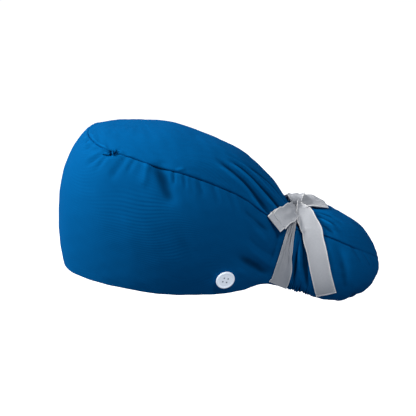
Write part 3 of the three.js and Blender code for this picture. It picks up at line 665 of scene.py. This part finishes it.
# From which depth or height a fold's painted shade or painted highlight begins, where it is full, and by
# which share
DIP_PAINTED_SHADE_RANGE = (0.4, 2.4, 0.88)
ROLL_PAINTED_HIGHLIGHT_RANGE = (0.4, 1.9, 0.55)
THREAD_PITCH = 0.62
WAVY_PITCH = 2.5
WAVY_DRIFT = 60.0  # how far the wavy bands wander
# The patch of each side where the wavy bands show most: how far across and up the flat cloth its middle
# lies, and how fast it fades both ways, in shares for each square millimetre
PATCH_ACROSS = 95.0
PATCH_UP = 68.0
PATCH_FADE = (0.0004, 0.0005)


def make_cloth_material():
    """Blue plain weave. Two crossed sets of threads in relief, thread by thread changes of tone, and the
    faint wavy bands that such a fine weave shows. Shade is painted darker into the dips of folds and a
    highlight paler onto their rolls, over what the lights alone make."""
    material, wire, shader = new_material("blue_cloth_painted_fold_light", roughness=0.85, specular_ior_level=0.06)
    shader.inputs["Specular Tint"].default_value = SHEEN_COLOUR
    shader.inputs["Sheen Weight"].default_value = 0.08
    shader.inputs["Sheen Tint"].default_value = SHEEN_COLOUR
    shader.inputs["Sheen Roughness"].default_value = 0.5
    place, across, up = flat_place(wire)
    weave = across.wave(THREAD_PITCH) * up.wave(THREAD_PITCH)
    slub = wire.add("ShaderNodeMapping", None, {"Vector": place, "Scale": (0.35, 2.6, 1)})
    slub = wire.add("ShaderNodeTexNoise", None, {"Vector": slub, "Scale": 0.9, "Detail": 3.0})
    mottle = wire.add("ShaderNodeTexNoise", None, {"Vector": place, "Scale": 0.035, "Detail": 2.0})
    drift = wire.add("ShaderNodeTexNoise", None, {"Vector": place, "Scale": 0.012, "Detail": 0.0})
    bands = (up + drift * WAVY_DRIFT).wave(WAVY_PITCH)
    pouch_end = MERIDIAN_SPACING * ROUND / 2
    aside = wire.math("ABSOLUTE", across - pouch_end) - (pouch_end - PATCH_ACROSS)
    above = up - PATCH_UP
    away = aside * aside * PATCH_FADE[0] + above * above * PATCH_FADE[1]
    patches = (1 - away.between(0.15, 1)) * 0.7 + mottle.between(0.46, 0.62) * 0.4
    tone = (slub - 0.5) * 0.35 + (mottle - 0.5) * 0.25 + bands * patches * 0.4 + weave * 0.05 + 0.5
    plain = tone.blend(CLOTH_DEEP, CLOTH_PALE)
    # Painted shade in the dips of folds and a painted highlight on their rolls, by how deep the folds are
    raised = wire.add("ShaderNodeAttribute", {"attribute_name": "fold_depth"}, output="Fac")
    dip = (raised * -1).between(*DIP_PAINTED_SHADE_RANGE[:2]) * DIP_PAINTED_SHADE_RANGE[2]
    roll = raised.between(*ROLL_PAINTED_HIGHLIGHT_RANGE[:2]) * ROLL_PAINTED_HIGHLIGHT_RANGE[2]
    plain_with_painted_fold_light = roll.blend(dip.blend(plain, DIP_PAINTED_SHADE_COLOUR), ROLL_PAINTED_HIGHLIGHT_COLOUR)
    plug(plain_with_painted_fold_light, shader, "Base Color")
    bump = {"Strength": 0.25, "Distance": 0.0001, "Height": weave + slub}
    plug(wire.add("ShaderNodeBump", None, bump), shader, "Normal")
    return material


# Side band. One long strip of the blue cloth, gathered along its upper edge into the top panel's
# seam. Its lower edge is turned up inside as a hem, which holds elastic behind the ribbons.
SEAM_OPENING = 0.03
ALLOWANCE = 5.0
cloth_material = make_cloth_material()


def close_edge(outer, inner, beyond):
    """A row halfway between two edges and half a thickness past them, which rounds the edge."""
    away = unit(outer - beyond)
    thickness = np.linalg.norm(outer - inner, axis=-1, keepdims=True)
    return (outer + inner) / 2 + away * thickness / 2


def cloth_wall(points, normals, thickness):
    return points - normals * thickness[:, None, None]


def seam_allowance(edge, beyond, normals):
    """The cloth's edge turned straight in at the seam: its raw end, between two rows a thickness apart."""
    away = unit(beyond - edge)
    depth = normals * ALLOWANCE
    wall = away * CLOTH
    rows = [edge - depth * 0.25, edge - depth, edge - depth + wall, edge - depth * 0.4 + wall]
    return np.stack(rows)


seam_row = BAND_ROWS - 1
HIDDEN_ROWS = 3  # rows whose inner face would lie inside the seam allowance
BELOW_HEM = -1.0  # where the rounded edge of the hem lies on the flat cloth
TURNED_UP = np.array([0.25, 1, 1.1, 0.4])  # the allowance's rows on the flat cloth, as shares of it
hem_extra = HEM_EXTRA * (1 - smoothstep(HEM_DEPTH - HEM_EASE, HEM_DEPTH, band_up))
band_outer = cloth_points[:BAND_ROWS].copy()
band_outer[-1] += unit(band_outer[-2] - band_outer[-1]) * SEAM_OPENING
band_inner = cloth_wall(band_outer, cloth_normals[:BAND_ROWS], CLOTH + hem_extra)[:-HIDDEN_ROWS]
bottom = close_edge(band_outer[0], band_inner[0], band_outer[1])
turned = seam_allowance(band_outer[-1], band_outer[-2], cloth_normals[seam_row])
band_grid = np.concatenate([bottom[None], band_outer, turned, band_inner[::-1]])
turned_up = BAND_HEIGHT + ALLOWANCE * TURNED_UP
band_places = np.concatenate([[BELOW_HEM], band_up, turned_up, band_up[:-HIDDEN_ROWS][::-1]])
index = vertex_numbers(band_grid)
faces, places = quads(index, flat_places(band_places), True, True)
band_depth = np.zeros(band_grid.shape[:2])
band_depth[1 : BAND_ROWS + 1] = cloth_rise[:BAND_ROWS]
side_band = add_mesh("side_band_cloth", band_grid.reshape(-1, 3), faces, places, cloth_material, band_depth)
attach(side_band, "root")
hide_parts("side_band")


# Top panel. A long oval of the same cloth over the crown and on over the pouch, sewn edge to edge
# into the gathered band.
top_outer = cloth_points[seam_row:].copy()
top_outer[0] += unit(top_outer[1] - top_outer[0]) * SEAM_OPENING
top_inner = cloth_wall(top_outer, cloth_normals[seam_row:], np.full(TOP_ROWS, CLOTH))[HIDDEN_ROWS:]
turned = seam_allowance(top_outer[0], top_outer[1], cloth_normals[seam_row])
top_grid = np.concatenate([top_inner[::-1], turned[::-1], top_outer])
turned_up = -ALLOWANCE * TURNED_UP[::-1]
top_places = BAND_HEIGHT + np.concatenate([top_up[HIDDEN_ROWS:][::-1], turned_up, top_up])
index = vertex_numbers(top_grid)
# On the crest the left side's columns meet the right side's, so they share their vertices
fold_over = np.minimum(np.arange(index.shape[1]), mirror)
index[0] = index[0][fold_over]
index[-1] = index[-1][fold_over]
faces, places = quads(index, flat_places(top_places), False, True)
top_depth = np.zeros(top_grid.shape[:2])
top_depth[-TOP_ROWS:] = cloth_rise[seam_row:]
top_panel = add_mesh("top_panel_cloth", top_grid.reshape(-1, 3), faces, places, cloth_material, top_depth)
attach(top_panel, "root")
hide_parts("top_panel")


# Ribbon. A pale grey ribbed ribbon, 20 mm wide, with a paler woven edge that is painted paler still as a
# highlight. One length is sewn to the hem behind each ear, and both lie up over the neck of the pouch to a
# bow.
RIBBON_HALF = 10.0
RIBBON_THICKNESS = 0.45
SELVAGE_THICKNESS = 0.7
WOVEN_EDGE = (1.3, 0.7)  # from the ribbon's edge to where its ribs end and to where the woven edge begins
RIB_PITCH = 0.9
RIBBON_DEEP = (0.52, 0.53, 0.55, 1)
RIBBON_PALE = (0.68, 0.69, 0.71, 1)
PALE_EDGE_AND_HIGHLIGHT = (0.9, 0.89, 0.87, 1)
# Places across the ribbon, closer together at the woven edges
SHARES = np.concatenate([[-1, -0.94, -0.88], np.linspace(-0.8, 0.8, 13), [0.88, 0.94, 1]])


def make_ribbon_material():
    """Fine ribs straight across the ribbon, a smooth pale woven edge on both sides with a painted highlight
    in its colour, and a soft gloss.
    """
    material, wire, shader = new_material("grey_ribbon", roughness=0.5, specular_ior_level=0.35)
    shader.inputs["Sheen Weight"].default_value = 0.15
    place, across, along = flat_place(wire)
    edge = wire.math("ABSOLUTE", across).between(*(RIBBON_HALF - inset for inset in WOVEN_EDGE))
    rib = along.wave(RIB_PITCH) * (1 - edge)
    noise = wire.add("ShaderNodeTexNoise", None, {"Vector": place, "Scale": 0.5, "Detail": 3.0})
    tone = noise * 0.5 + rib * 0.1 + 0.25
    body = tone.blend(RIBBON_DEEP, RIBBON_PALE)
    # The woven edge's colour: paler yarn and a painted highlight
    plug(edge.blend(body, PALE_EDGE_AND_HIGHLIGHT), shader, "Base Color")
    bump = {"Strength": 0.5, "Distance": 0.0002, "Height": rib + edge * 1.5 + noise * 0.6}
    plug(wire.add("ShaderNodeBump", None, bump), shader, "Normal")
    return material


def along_rows(rows, count):
    """Smooth curves through each column of a table of rows, at even steps."""
    rows = np.asarray(rows, float)
    padded = np.concatenate([2 * rows[:1] - rows[1:2], rows, 2 * rows[-1:] - rows[-2:-1]])
    t = np.linspace(0, len(rows) - 1, count)
    first = np.minimum(t.astype(int), len(rows) - 2)
    neighbours = (padded[first + k] for k in range(4))
    return between_two(*neighbours, (t - first)[:, None])


def spread_out(grid, rows, columns):
    """The highest value of a grid near each place, smoothed over the same distance."""
    for step, axis in ((rows, 0), (columns, 1)):
        shifts = [np.roll(grid, k, axis) for k in range(-step, step + 1)]
        grid = np.max(shifts, axis=0)
        shifts = [np.roll(grid, k, axis) for k in range(-step, step + 1)]
        grid = np.mean(shifts, axis=0)
    return grid


# The surface that a ribbon rests on: it spans the cloth's small folds from ridge to ridge.
BRIDGED_ROWS = 3
BRIDGED_COLUMNS = 12
before, after = cloth_rise[:BRIDGED_ROWS][::-1], np.repeat(cloth_rise[-1:], BRIDGED_ROWS, axis=0)
bridged = spread_out(np.concatenate([before, cloth_rise, after]), BRIDGED_ROWS, BRIDGED_COLUMNS)
rest_points, rest_normals = raised_cloth(bridged[BRIDGED_ROWS:-BRIDGED_ROWS])


def over_cloth(meridian, level, height=0.0):
    """Places at a height over the resting surface, and their normals. A level past 2 is beyond the crest,
    on the other side."""
    beyond = level > 2
    meridian = np.where(beyond, ROUND - meridian, meridian)
    return on_cloth(meridian, np.where(beyond, 4 - level, level), height, rest_points, rest_normals)


DAMPING = 10.0  # keeps the steps short where the cloth's grid has no width


def step_over_cloth(meridian, level, vector):
    """Meridian and level of the place that lies a vector away over the cloth: four corrected steps."""
    step = 0.03
    target = over_cloth(meridian, level)[0] + vector
    m, l = (np.broadcast_to(value, vector.shape[:-1]) for value in (meridian, level))
    for _ in range(4):
        here = over_cloth(m, l)[0]
        around = (over_cloth(m + step, l)[0] - here) / step
        up = (over_cloth(m, l + step)[0] - here) / step
        left = target - here
        aa, ab, bb = (np.sum(p * q, -1) for p, q in ((around, around), (around, up), (up, up)))
        aa, bb = aa + DAMPING, bb + DAMPING
        av, bv = np.sum(around * left, -1), np.sum(up * left, -1)
        scale = aa * bb - ab * ab
        m = m + np.clip((av * bb - bv * ab) / scale, -0.4, 0.4)
        l = np.clip(l + np.clip((bv * aa - av * ab) / scale, -0.25, 0.25), 0, 3)
    return m, l


def ribbon_mesh(name, face, node):
    """A ribbon from the points of its lower face, a row for each step along it. It is thicker at both
    woven edges, and closed at both ends."""
    facing = unit(np.cross(np.gradient(face, axis=1), np.gradient(face, axis=0)))
    edge = smoothstep(0.86, 0.93, np.abs(SHARES))
    thickness = RIBBON_THICKNESS + (SELVAGE_THICKNESS - RIBBON_THICKNESS) * edge
    section = np.concatenate([face + facing * thickness[:, None], face[:, ::-1]], axis=1)
    steps = np.linalg.norm(np.diff(face[:, len(SHARES) // 2], axis=0), axis=-1)
    run = np.concatenate([[0], np.cumsum(steps)])
    flat = np.concatenate([SHARES, SHARES[::-1], SHARES[:1]]) * RIBBON_HALF
    uv = np.stack(np.broadcast_arrays(flat[None], run[:, None]), -1)
    index = vertex_numbers(section)
    faces, places = quads(index, uv, False, True)
    ends = []
    for row in (index[0][::-1], index[-1]):
        over_row, under_row = row[: len(SHARES)], row[len(SHARES):][::-1]
        ends.append(np.stack([over_row[1:], over_row[:-1], under_row[:-1], under_row[1:]], -1))
    ends = np.concatenate(ends)
    faces = np.concatenate([faces, ends])
    places = np.concatenate([places, np.zeros((len(ends), 4, 2))])
    piece = add_mesh(name, section.reshape(-1, 3), faces, places, ribbon_material)
    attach(piece, "root")
    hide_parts(node)
    return piece


PLEAT_HEIGHT = 0.13  # half of a pleat's, as a share of the width that it takes up


def pleated(half_share, pleats):
    """How far each place across stands up where the ribbon is drawn together: a wave over its width."""
    drawn_in = np.sqrt(np.clip(1 - half_share**2, 0, 1))[:, None] * RIBBON_HALF
    return drawn_in * PLEAT_HEIGHT * (1 + np.cos(np.pi * pleats * SHARES))[None]


ribbon_material = make_ribbon_material()


def on_side(meridian, side):
    return meridian if side > 0 else ROUND - meridian


def across_ribbon(path, across, free, lies):
    """The lower face of a ribbon, and the cloth's normals under it. Each place lies as high over the cloth
    as the ribbon's middle or, where the ribbon is free, straight across from it, but no lower than it
    lies."""
    meridian, level, height, half_share = path
    shift = across[:, None] * (half_share[:, None] * SHARES * RIBBON_HALF)[..., None]
    place = step_over_cloth(meridian[:, None], level[:, None], shift)
    draped, normals = over_cloth(*place, height[:, None])
    straight = over_cloth(meridian, level, height)[0][:, None] + shift
    clear = np.sum((straight - draped) * normals, -1) + height[:, None]
    straight = straight + normals * np.maximum(lies[:, None] - clear, 0)[..., None]
    return draped + (straight - draped) * np.reshape(free, (-1, 1, 1)), normals


BACKWARD = np.array((0, 1, 0))
MOST_CLEARANCE = 2.4  # that a free ribbon keeps from the cloth
RIBBON_STEPS = 60


def laid_ribbon(name, rows, side, pleats, node):
    """A ribbon laid over the cloth along a table of meridian, level, height over the cloth, share of its
    width and share that it is free."""
    meridian, level, height, half_share, free = along_rows(rows, RIBBON_STEPS).T
    meridian = on_side(meridian, side)
    centres, normals = over_cloth(meridian, level, height)
    across = unit(np.cross(np.gradient(centres, axis=0), normals))
    across = unit(across + (BACKWARD - across) * free[:, None])
    path = (meridian, level, height, half_share)
    face, facing = across_ribbon(path, across, free, np.minimum(height, MOST_CLEARANCE))
    face = face + facing * pleated(half_share, pleats)[..., None]
    return ribbon_mesh(name, face, node)


# Straps. The ribbon's sewn end lies flat on the band at the hem, and is drawn together towards the knot.
STRAP = [
    (9.0, 0.012, 0.5, 1, 0), (9.08, 0.1, 0.5, 1, 0), (9.1, 0.2, 0.5, 1, 0), (9.1, 0.38, 0.6, 0.96, 0),
    (9.05, 0.58, 0.8, 0.76, 0), (9.0, 0.79, 1.0, 0.54, 0), (9.0, 1.0, 1.2, 0.38, 0),
    (9.0, 1.3, 1.5, 0.34, 0), (9.0, 1.86, 1.5, 0.3, 0),
]
for name, side in (("left", 1), ("right", -1)):
    laid_ribbon(f"strap_{name}", STRAP, side, 3, f"ribbon_strap_{name}")


# Bow. Two loops and two free ends leave one small tight knot on the crest of the neck. The left end
# lies back over the pouch, and the right one arches off the knot and falls down the other side.
LEFT_TAIL = [
    (9.04, 1.9, 7.4, 0.56, 0), (9.18, 1.75, 7.2, 0.84, 0), (9.42, 1.57, 5.6, 0.98, 0),
    (9.74, 1.3, 3.4, 1, 0), (10.1, 0.97, 1.8, 1, 0), (10.48, 0.79, 1.0, 1, 0), (10.84, 0.58, 1.0, 1, 0),
    (11.18, 0.36, 2.4, 1, 0),
]
RIGHT_TAIL = [
    (8.96, 2.09, 2.0, 0.5, 1), (8.78, 2.1, 5.4, 0.76, 1), (8.67, 2.06, 8.8, 0.87, 1),
    (8.72, 1.94, 9.6, 0.84, 1), (8.84, 1.7, 8.0, 0.82, 1), (8.88, 1.4, 6.4, 0.88, 1),
    (8.86, 1.18, 5.0, 0.94, 0.7), (8.76, 0.97, 3.4, 1, 0.2), (8.62, 0.74, 2.6, 1, 0),
    (8.48, 0.5, 2.4, 1, 0), (8.42, 0.3, 2.4, 1, 0),
]
laid_ribbon("tail_left", LEFT_TAIL, 1, 2, "ribbon_tail_left")
laid_ribbon("tail_right", RIGHT_TAIL, -1, 2, "ribbon_tail_right")

# Loops out from the knot, round the tip and back above themselves: meridian, level, height over the
# cloth and share of the ribbon's width
LEFT_LOOP = [
    (9.0, 1.78, 1.6, 0.4), (8.85, 1.5, 2.0, 0.7), (8.6, 1.19, 2.8, 0.96), (8.36, 0.98, 3.4, 1),
    (8.26, 0.905, 3.7, 1), (8.24, 0.895, 4.3, 1), (8.26, 0.905, 4.9, 1), (8.36, 0.98, 6.6, 1),
    (8.6, 1.19, 8.2, 0.97), (8.85, 1.5, 6.4, 0.84), (9.02, 1.76, 3.4, 0.66),
]
RIGHT_LOOP = [
    (9.1, 1.99, 1.6, 0.5), (9.5, 1.965, 2.0, 0.75), (10.0, 1.925, 2.4, 0.95), (10.45, 1.88, 2.0, 1),
    (10.72, 1.855, 1.8, 1), (10.77, 1.85, 2.3, 1), (10.72, 1.855, 2.8, 1), (10.45, 1.88, 4.0, 1),
    (10.0, 1.925, 6.0, 0.96), (9.5, 1.965, 7.0, 0.86), (9.1, 1.99, 5.6, 0.6),
]
# Across the left loop, which stands off the cloth and turns its face out and up
FREE_ACROSS = -unit(np.array((0.24, 0.62, -0.74)))
LOOP_STEPS = 90
LOOP_CLEARANCE = 0.25  # that a free loop keeps from the cloth, as a share of its height
LOOP_PLEATS = 0.6  # how high the loops' pleats are beside the tails'
LEAN_FROM = 1.0  # the height at which a leaning loop still lies level
LEAN_RISE = 5.0  # how much higher it leans by the full amount


def loop_ribbon(name, rows, free, lean, side, node):
    """A bow loop over the cloth. Where it leans, its edge away from the cap's left stands up, most at
    the knot and on the upper layer."""
    meridian, level, height, half_share = along_rows(rows, LOOP_STEPS).T
    meridian = on_side(meridian, side)
    centres, normals = over_cloth(meridian, level, height)
    outward = centres[len(centres) // 2] - centres[0]
    across = unit(np.cross(outward, normals))
    across = unit(across + (FREE_ACROSS - across) * free)
    path = (meridian, level, height, half_share)
    face, facing = across_ribbon(path, across, np.full(len(height), free), height * LOOP_CLEARANCE)
    leaning = lean * SHARES * ((height - LEAN_FROM) / LEAN_RISE)[:, None]
    wave = pleated(half_share, 2) * LOOP_PLEATS - leaning
    return ribbon_mesh(name, face + facing * wave[..., None], node)


loop_ribbon("loop_left", LEFT_LOOP, 1.0, 0.0, 1, "bow_loop_left")
loop_ribbon("loop_right", RIGHT_LOOP, 0.0, 3.0, -1, "bow_loop_right")

# Knot. A turn of the same ribbon pulled tight over the middle of the bow, with pleats round it.
KNOT_STEPS = 56
KNOT_ROWS = 25
KNOT_WIDTH = 14  # of the ribbon where it turns round the bow
KNOT_TURN = 24  # length of that turn
KNOT_PLEAT = 0.055  # as a share of the knot's girth
KNOT_PLEATS = 9  # their angle over half the knot's width, in radians
KNOT_CUT = 0.985  # where the egg is cut off at both ends
KNOT_FULLNESS = 0.7  # the lower, the fuller its ends


def knot_points():
    """An egg shape across the cap, with pleats that follow the ribbon's turn and a pinch at both ends."""
    turn = np.linspace(0, 2 * np.pi, KNOT_STEPS, endpoint=False)
    along = np.linspace(-1, 1, KNOT_ROWS)[:, None]
    size = (knot_high - knot_low) / 2
    centre = np.array((knot_high + knot_low) / 2)
    girth = np.sqrt(np.clip(1 - (along * KNOT_CUT) ** 2, 0, 1)) ** KNOT_FULLNESS
    pleat = 1 + KNOT_PLEAT * np.cos(along * KNOT_PLEATS + 0.8 * np.sin(turn))
    x = along * size.x + 0 * turn
    y = girth * pleat * np.cos(turn) * size.y
    z = girth * pleat * np.sin(turn) * size.z
    return centre + np.stack([x, y, z], -1)


grid = knot_points()
index = vertex_numbers(grid)
uv_knot = np.zeros((grid.shape[0], grid.shape[1] + 1, 2))
uv_knot[..., 0] = np.linspace(-KNOT_WIDTH / 2, KNOT_WIDTH / 2, grid.shape[0])[:, None]
uv_knot[..., 1] = np.linspace(0, KNOT_TURN, grid.shape[1] + 1)[None]
faces, places = quads(index, uv_knot, False, True)
faces = faces[:, ::-1]
places = places[:, ::-1]
caps = np.concatenate([ring_cap(index[0]), ring_cap(index[-1][::-1])])
faces = np.concatenate([faces, caps])
places = np.concatenate([places, np.zeros((len(caps), 4, 2))])
knot = add_mesh("bow_knot", grid.reshape(-1, 3), faces, places, ribbon_material)
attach(knot, "root")
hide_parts("ribbon_knot")


# Buttons. A pale glossy four-hole button near the hem behind each temple, moulded with a raised rim
# and a dished face, with its holes cut right through.
BUTTON_RADIUS = 9.5
BUTTON_HALF = 1.5
BUTTON_HOLE = 0.85
BUTTON_HOLE_OFFSET = 2.1
BUTTON_SIDES = 72
BUTTON_STEPS = 46
HOLE_SIDES = 24
BUTTON_PLACE = (6.3, 0.17)  # meridian and level
SHARP_ANGLE = math.radians(40)
BUTTON_DEEP = (0.74, 0.8, 0.87, 1)
BUTTON_PALE = (0.9, 0.95, 1.0, 1)
# Painted shade in and round the holes
HOLE_PAINTED_SHADE = (0.08, 0.09, 0.1, 1)
# Painted light: the glow that brightens the button, and its colour
BUTTON_PAINTED_LIGHT = 0.38
BUTTON_PAINTED_LIGHT_COLOUR = (0.8, 0.88, 1, 1)
NO_PAINTED_LIGHT = (0, 0, 0, 1)
# Section from the middle of the back, round the rim, to the middle of the face: shares of the radius
# and of half the thickness
BUTTON_SECTION = [
    (0.01, -1), (0.35, -1), (0.68, -1), (0.86, -0.86), (0.965, -0.5), (1, 0), (0.99, 0.5), (0.955, 0.85),
    (0.905, 1), (0.86, 0.97), (0.82, 0.82), (0.78, 0.6), (0.72, 0.48), (0.5, 0.45), (0.25, 0.45),
    (0.01, 0.45),
]


def make_button_material():
    """Pale plastic, faintly clouded, with painted shade in and round its holes. A painted glow lights up
    the rest of it, though it is no lamp.
    """
    material, wire, shader = new_material("button_plastic_painted_light", roughness=0.28, specular_ior_level=0.5)
    # A painted glow, so that the plastic looks more brightly lit
    shader.inputs["Emission Strength"].default_value = BUTTON_PAINTED_LIGHT
    place, *sides = flat_place(wire)
    near_hole = [wire.math("ABSOLUTE", side) - BUTTON_HOLE_OFFSET for side in sides]
    distance = wire.math("SQRT", near_hole[0] * near_hole[0] + near_hole[1] * near_hole[1])
    outside = distance.between(BUTTON_HOLE - 0.1, BUTTON_HOLE + 0.15)
    cloud = wire.add("ShaderNodeTexNoise", None, {"Vector": place, "Scale": 0.35, "Detail": 2.0})
    body = cloud.blend(BUTTON_DEEP, BUTTON_PALE)
    # Painted shade in and round the holes, and no painted glow there
    plug(outside.blend(HOLE_PAINTED_SHADE, body), shader, "Base Color")
    plug(outside.blend(NO_PAINTED_LIGHT, BUTTON_PAINTED_LIGHT_COLOUR), shader, "Emission Color")
    return material


def turned_body(name, radii, heights, sides, centre, material):
    """A round body about the upright line through centre, closed at both ends."""
    angle = np.linspace(0, 2 * np.pi, sides, endpoint=False)
    x = radii[:, None] * np.cos(angle) + centre[0]
    y = radii[:, None] * np.sin(angle) + centre[1]
    grid = np.stack([x, y, heights[:, None] + 0 * angle], -1)
    index = vertex_numbers(grid)
    faces, _ = quads(index, np.zeros((grid.shape[0], sides + 1, 2)), False, True)
    faces = np.concatenate([faces, ring_cap(index[0][::-1]), ring_cap(index[-1])])
    points = grid.reshape(-1, 3)
    return add_mesh(name, points, faces, points[faces][..., :2], material)


def cut_holes(body, material):
    """Cuts the four holes right through a button, and keeps the result as its mesh."""
    radii = np.full(2, BUTTON_HOLE)
    ends = np.array((-2, 2)) * BUTTON_HALF
    for out, over in ((-1, -1), (-1, 1), (1, -1), (1, 1)):
        spot = (out * BUTTON_HOLE_OFFSET, over * BUTTON_HOLE_OFFSET)
        cut = body.modifiers.new("hole", "BOOLEAN")
        cut.operation = "DIFFERENCE"
        cut.object = turned_body("hole", radii, ends, HOLE_SIDES, spot, material)
    bpy.context.view_layer.update()
    evaluated = body.evaluated_get(bpy.context.evaluated_depsgraph_get())
    mesh = bpy.data.meshes.new_from_object(evaluated)
    for cut in list(body.modifiers):
        cutter = cut.object
        body.modifiers.remove(cut)
        bpy.data.objects.remove(cutter)
    body.data = mesh
    mesh.set_sharp_from_angle(angle=SHARP_ANGLE)
    return mesh


button_material = make_button_material()
radii, heights = (along_rows(BUTTON_SECTION, BUTTON_STEPS) * (BUTTON_RADIUS, BUTTON_HALF)).T
for name, side in (("left", 1), ("right", -1)):
    body = turned_body(f"mask_button_{name}", radii, heights, BUTTON_SIDES, (0, 0), button_material)
    mesh = cut_holes(body, button_material)
    cad_low, cad_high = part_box(f"button_{name}")
    meridian = np.array(on_side(BUTTON_PLACE[0], side))
    normal = on_cloth(meridian, np.array(BUTTON_PLACE[1]), 0.0, smooth_points, smooth_normals)[1]
    turn = Vector((0, 0, 1)).rotation_difference(Vector(normal)).to_matrix().to_4x4()
    mesh.transform(turn)
    mesh.transform(turn.Translation((cad_low + cad_high) / 2))
    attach(body, "root")
    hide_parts(f"button_{name}")

corners = [[list(corner) for corner in box] for box in (cad_box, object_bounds())]
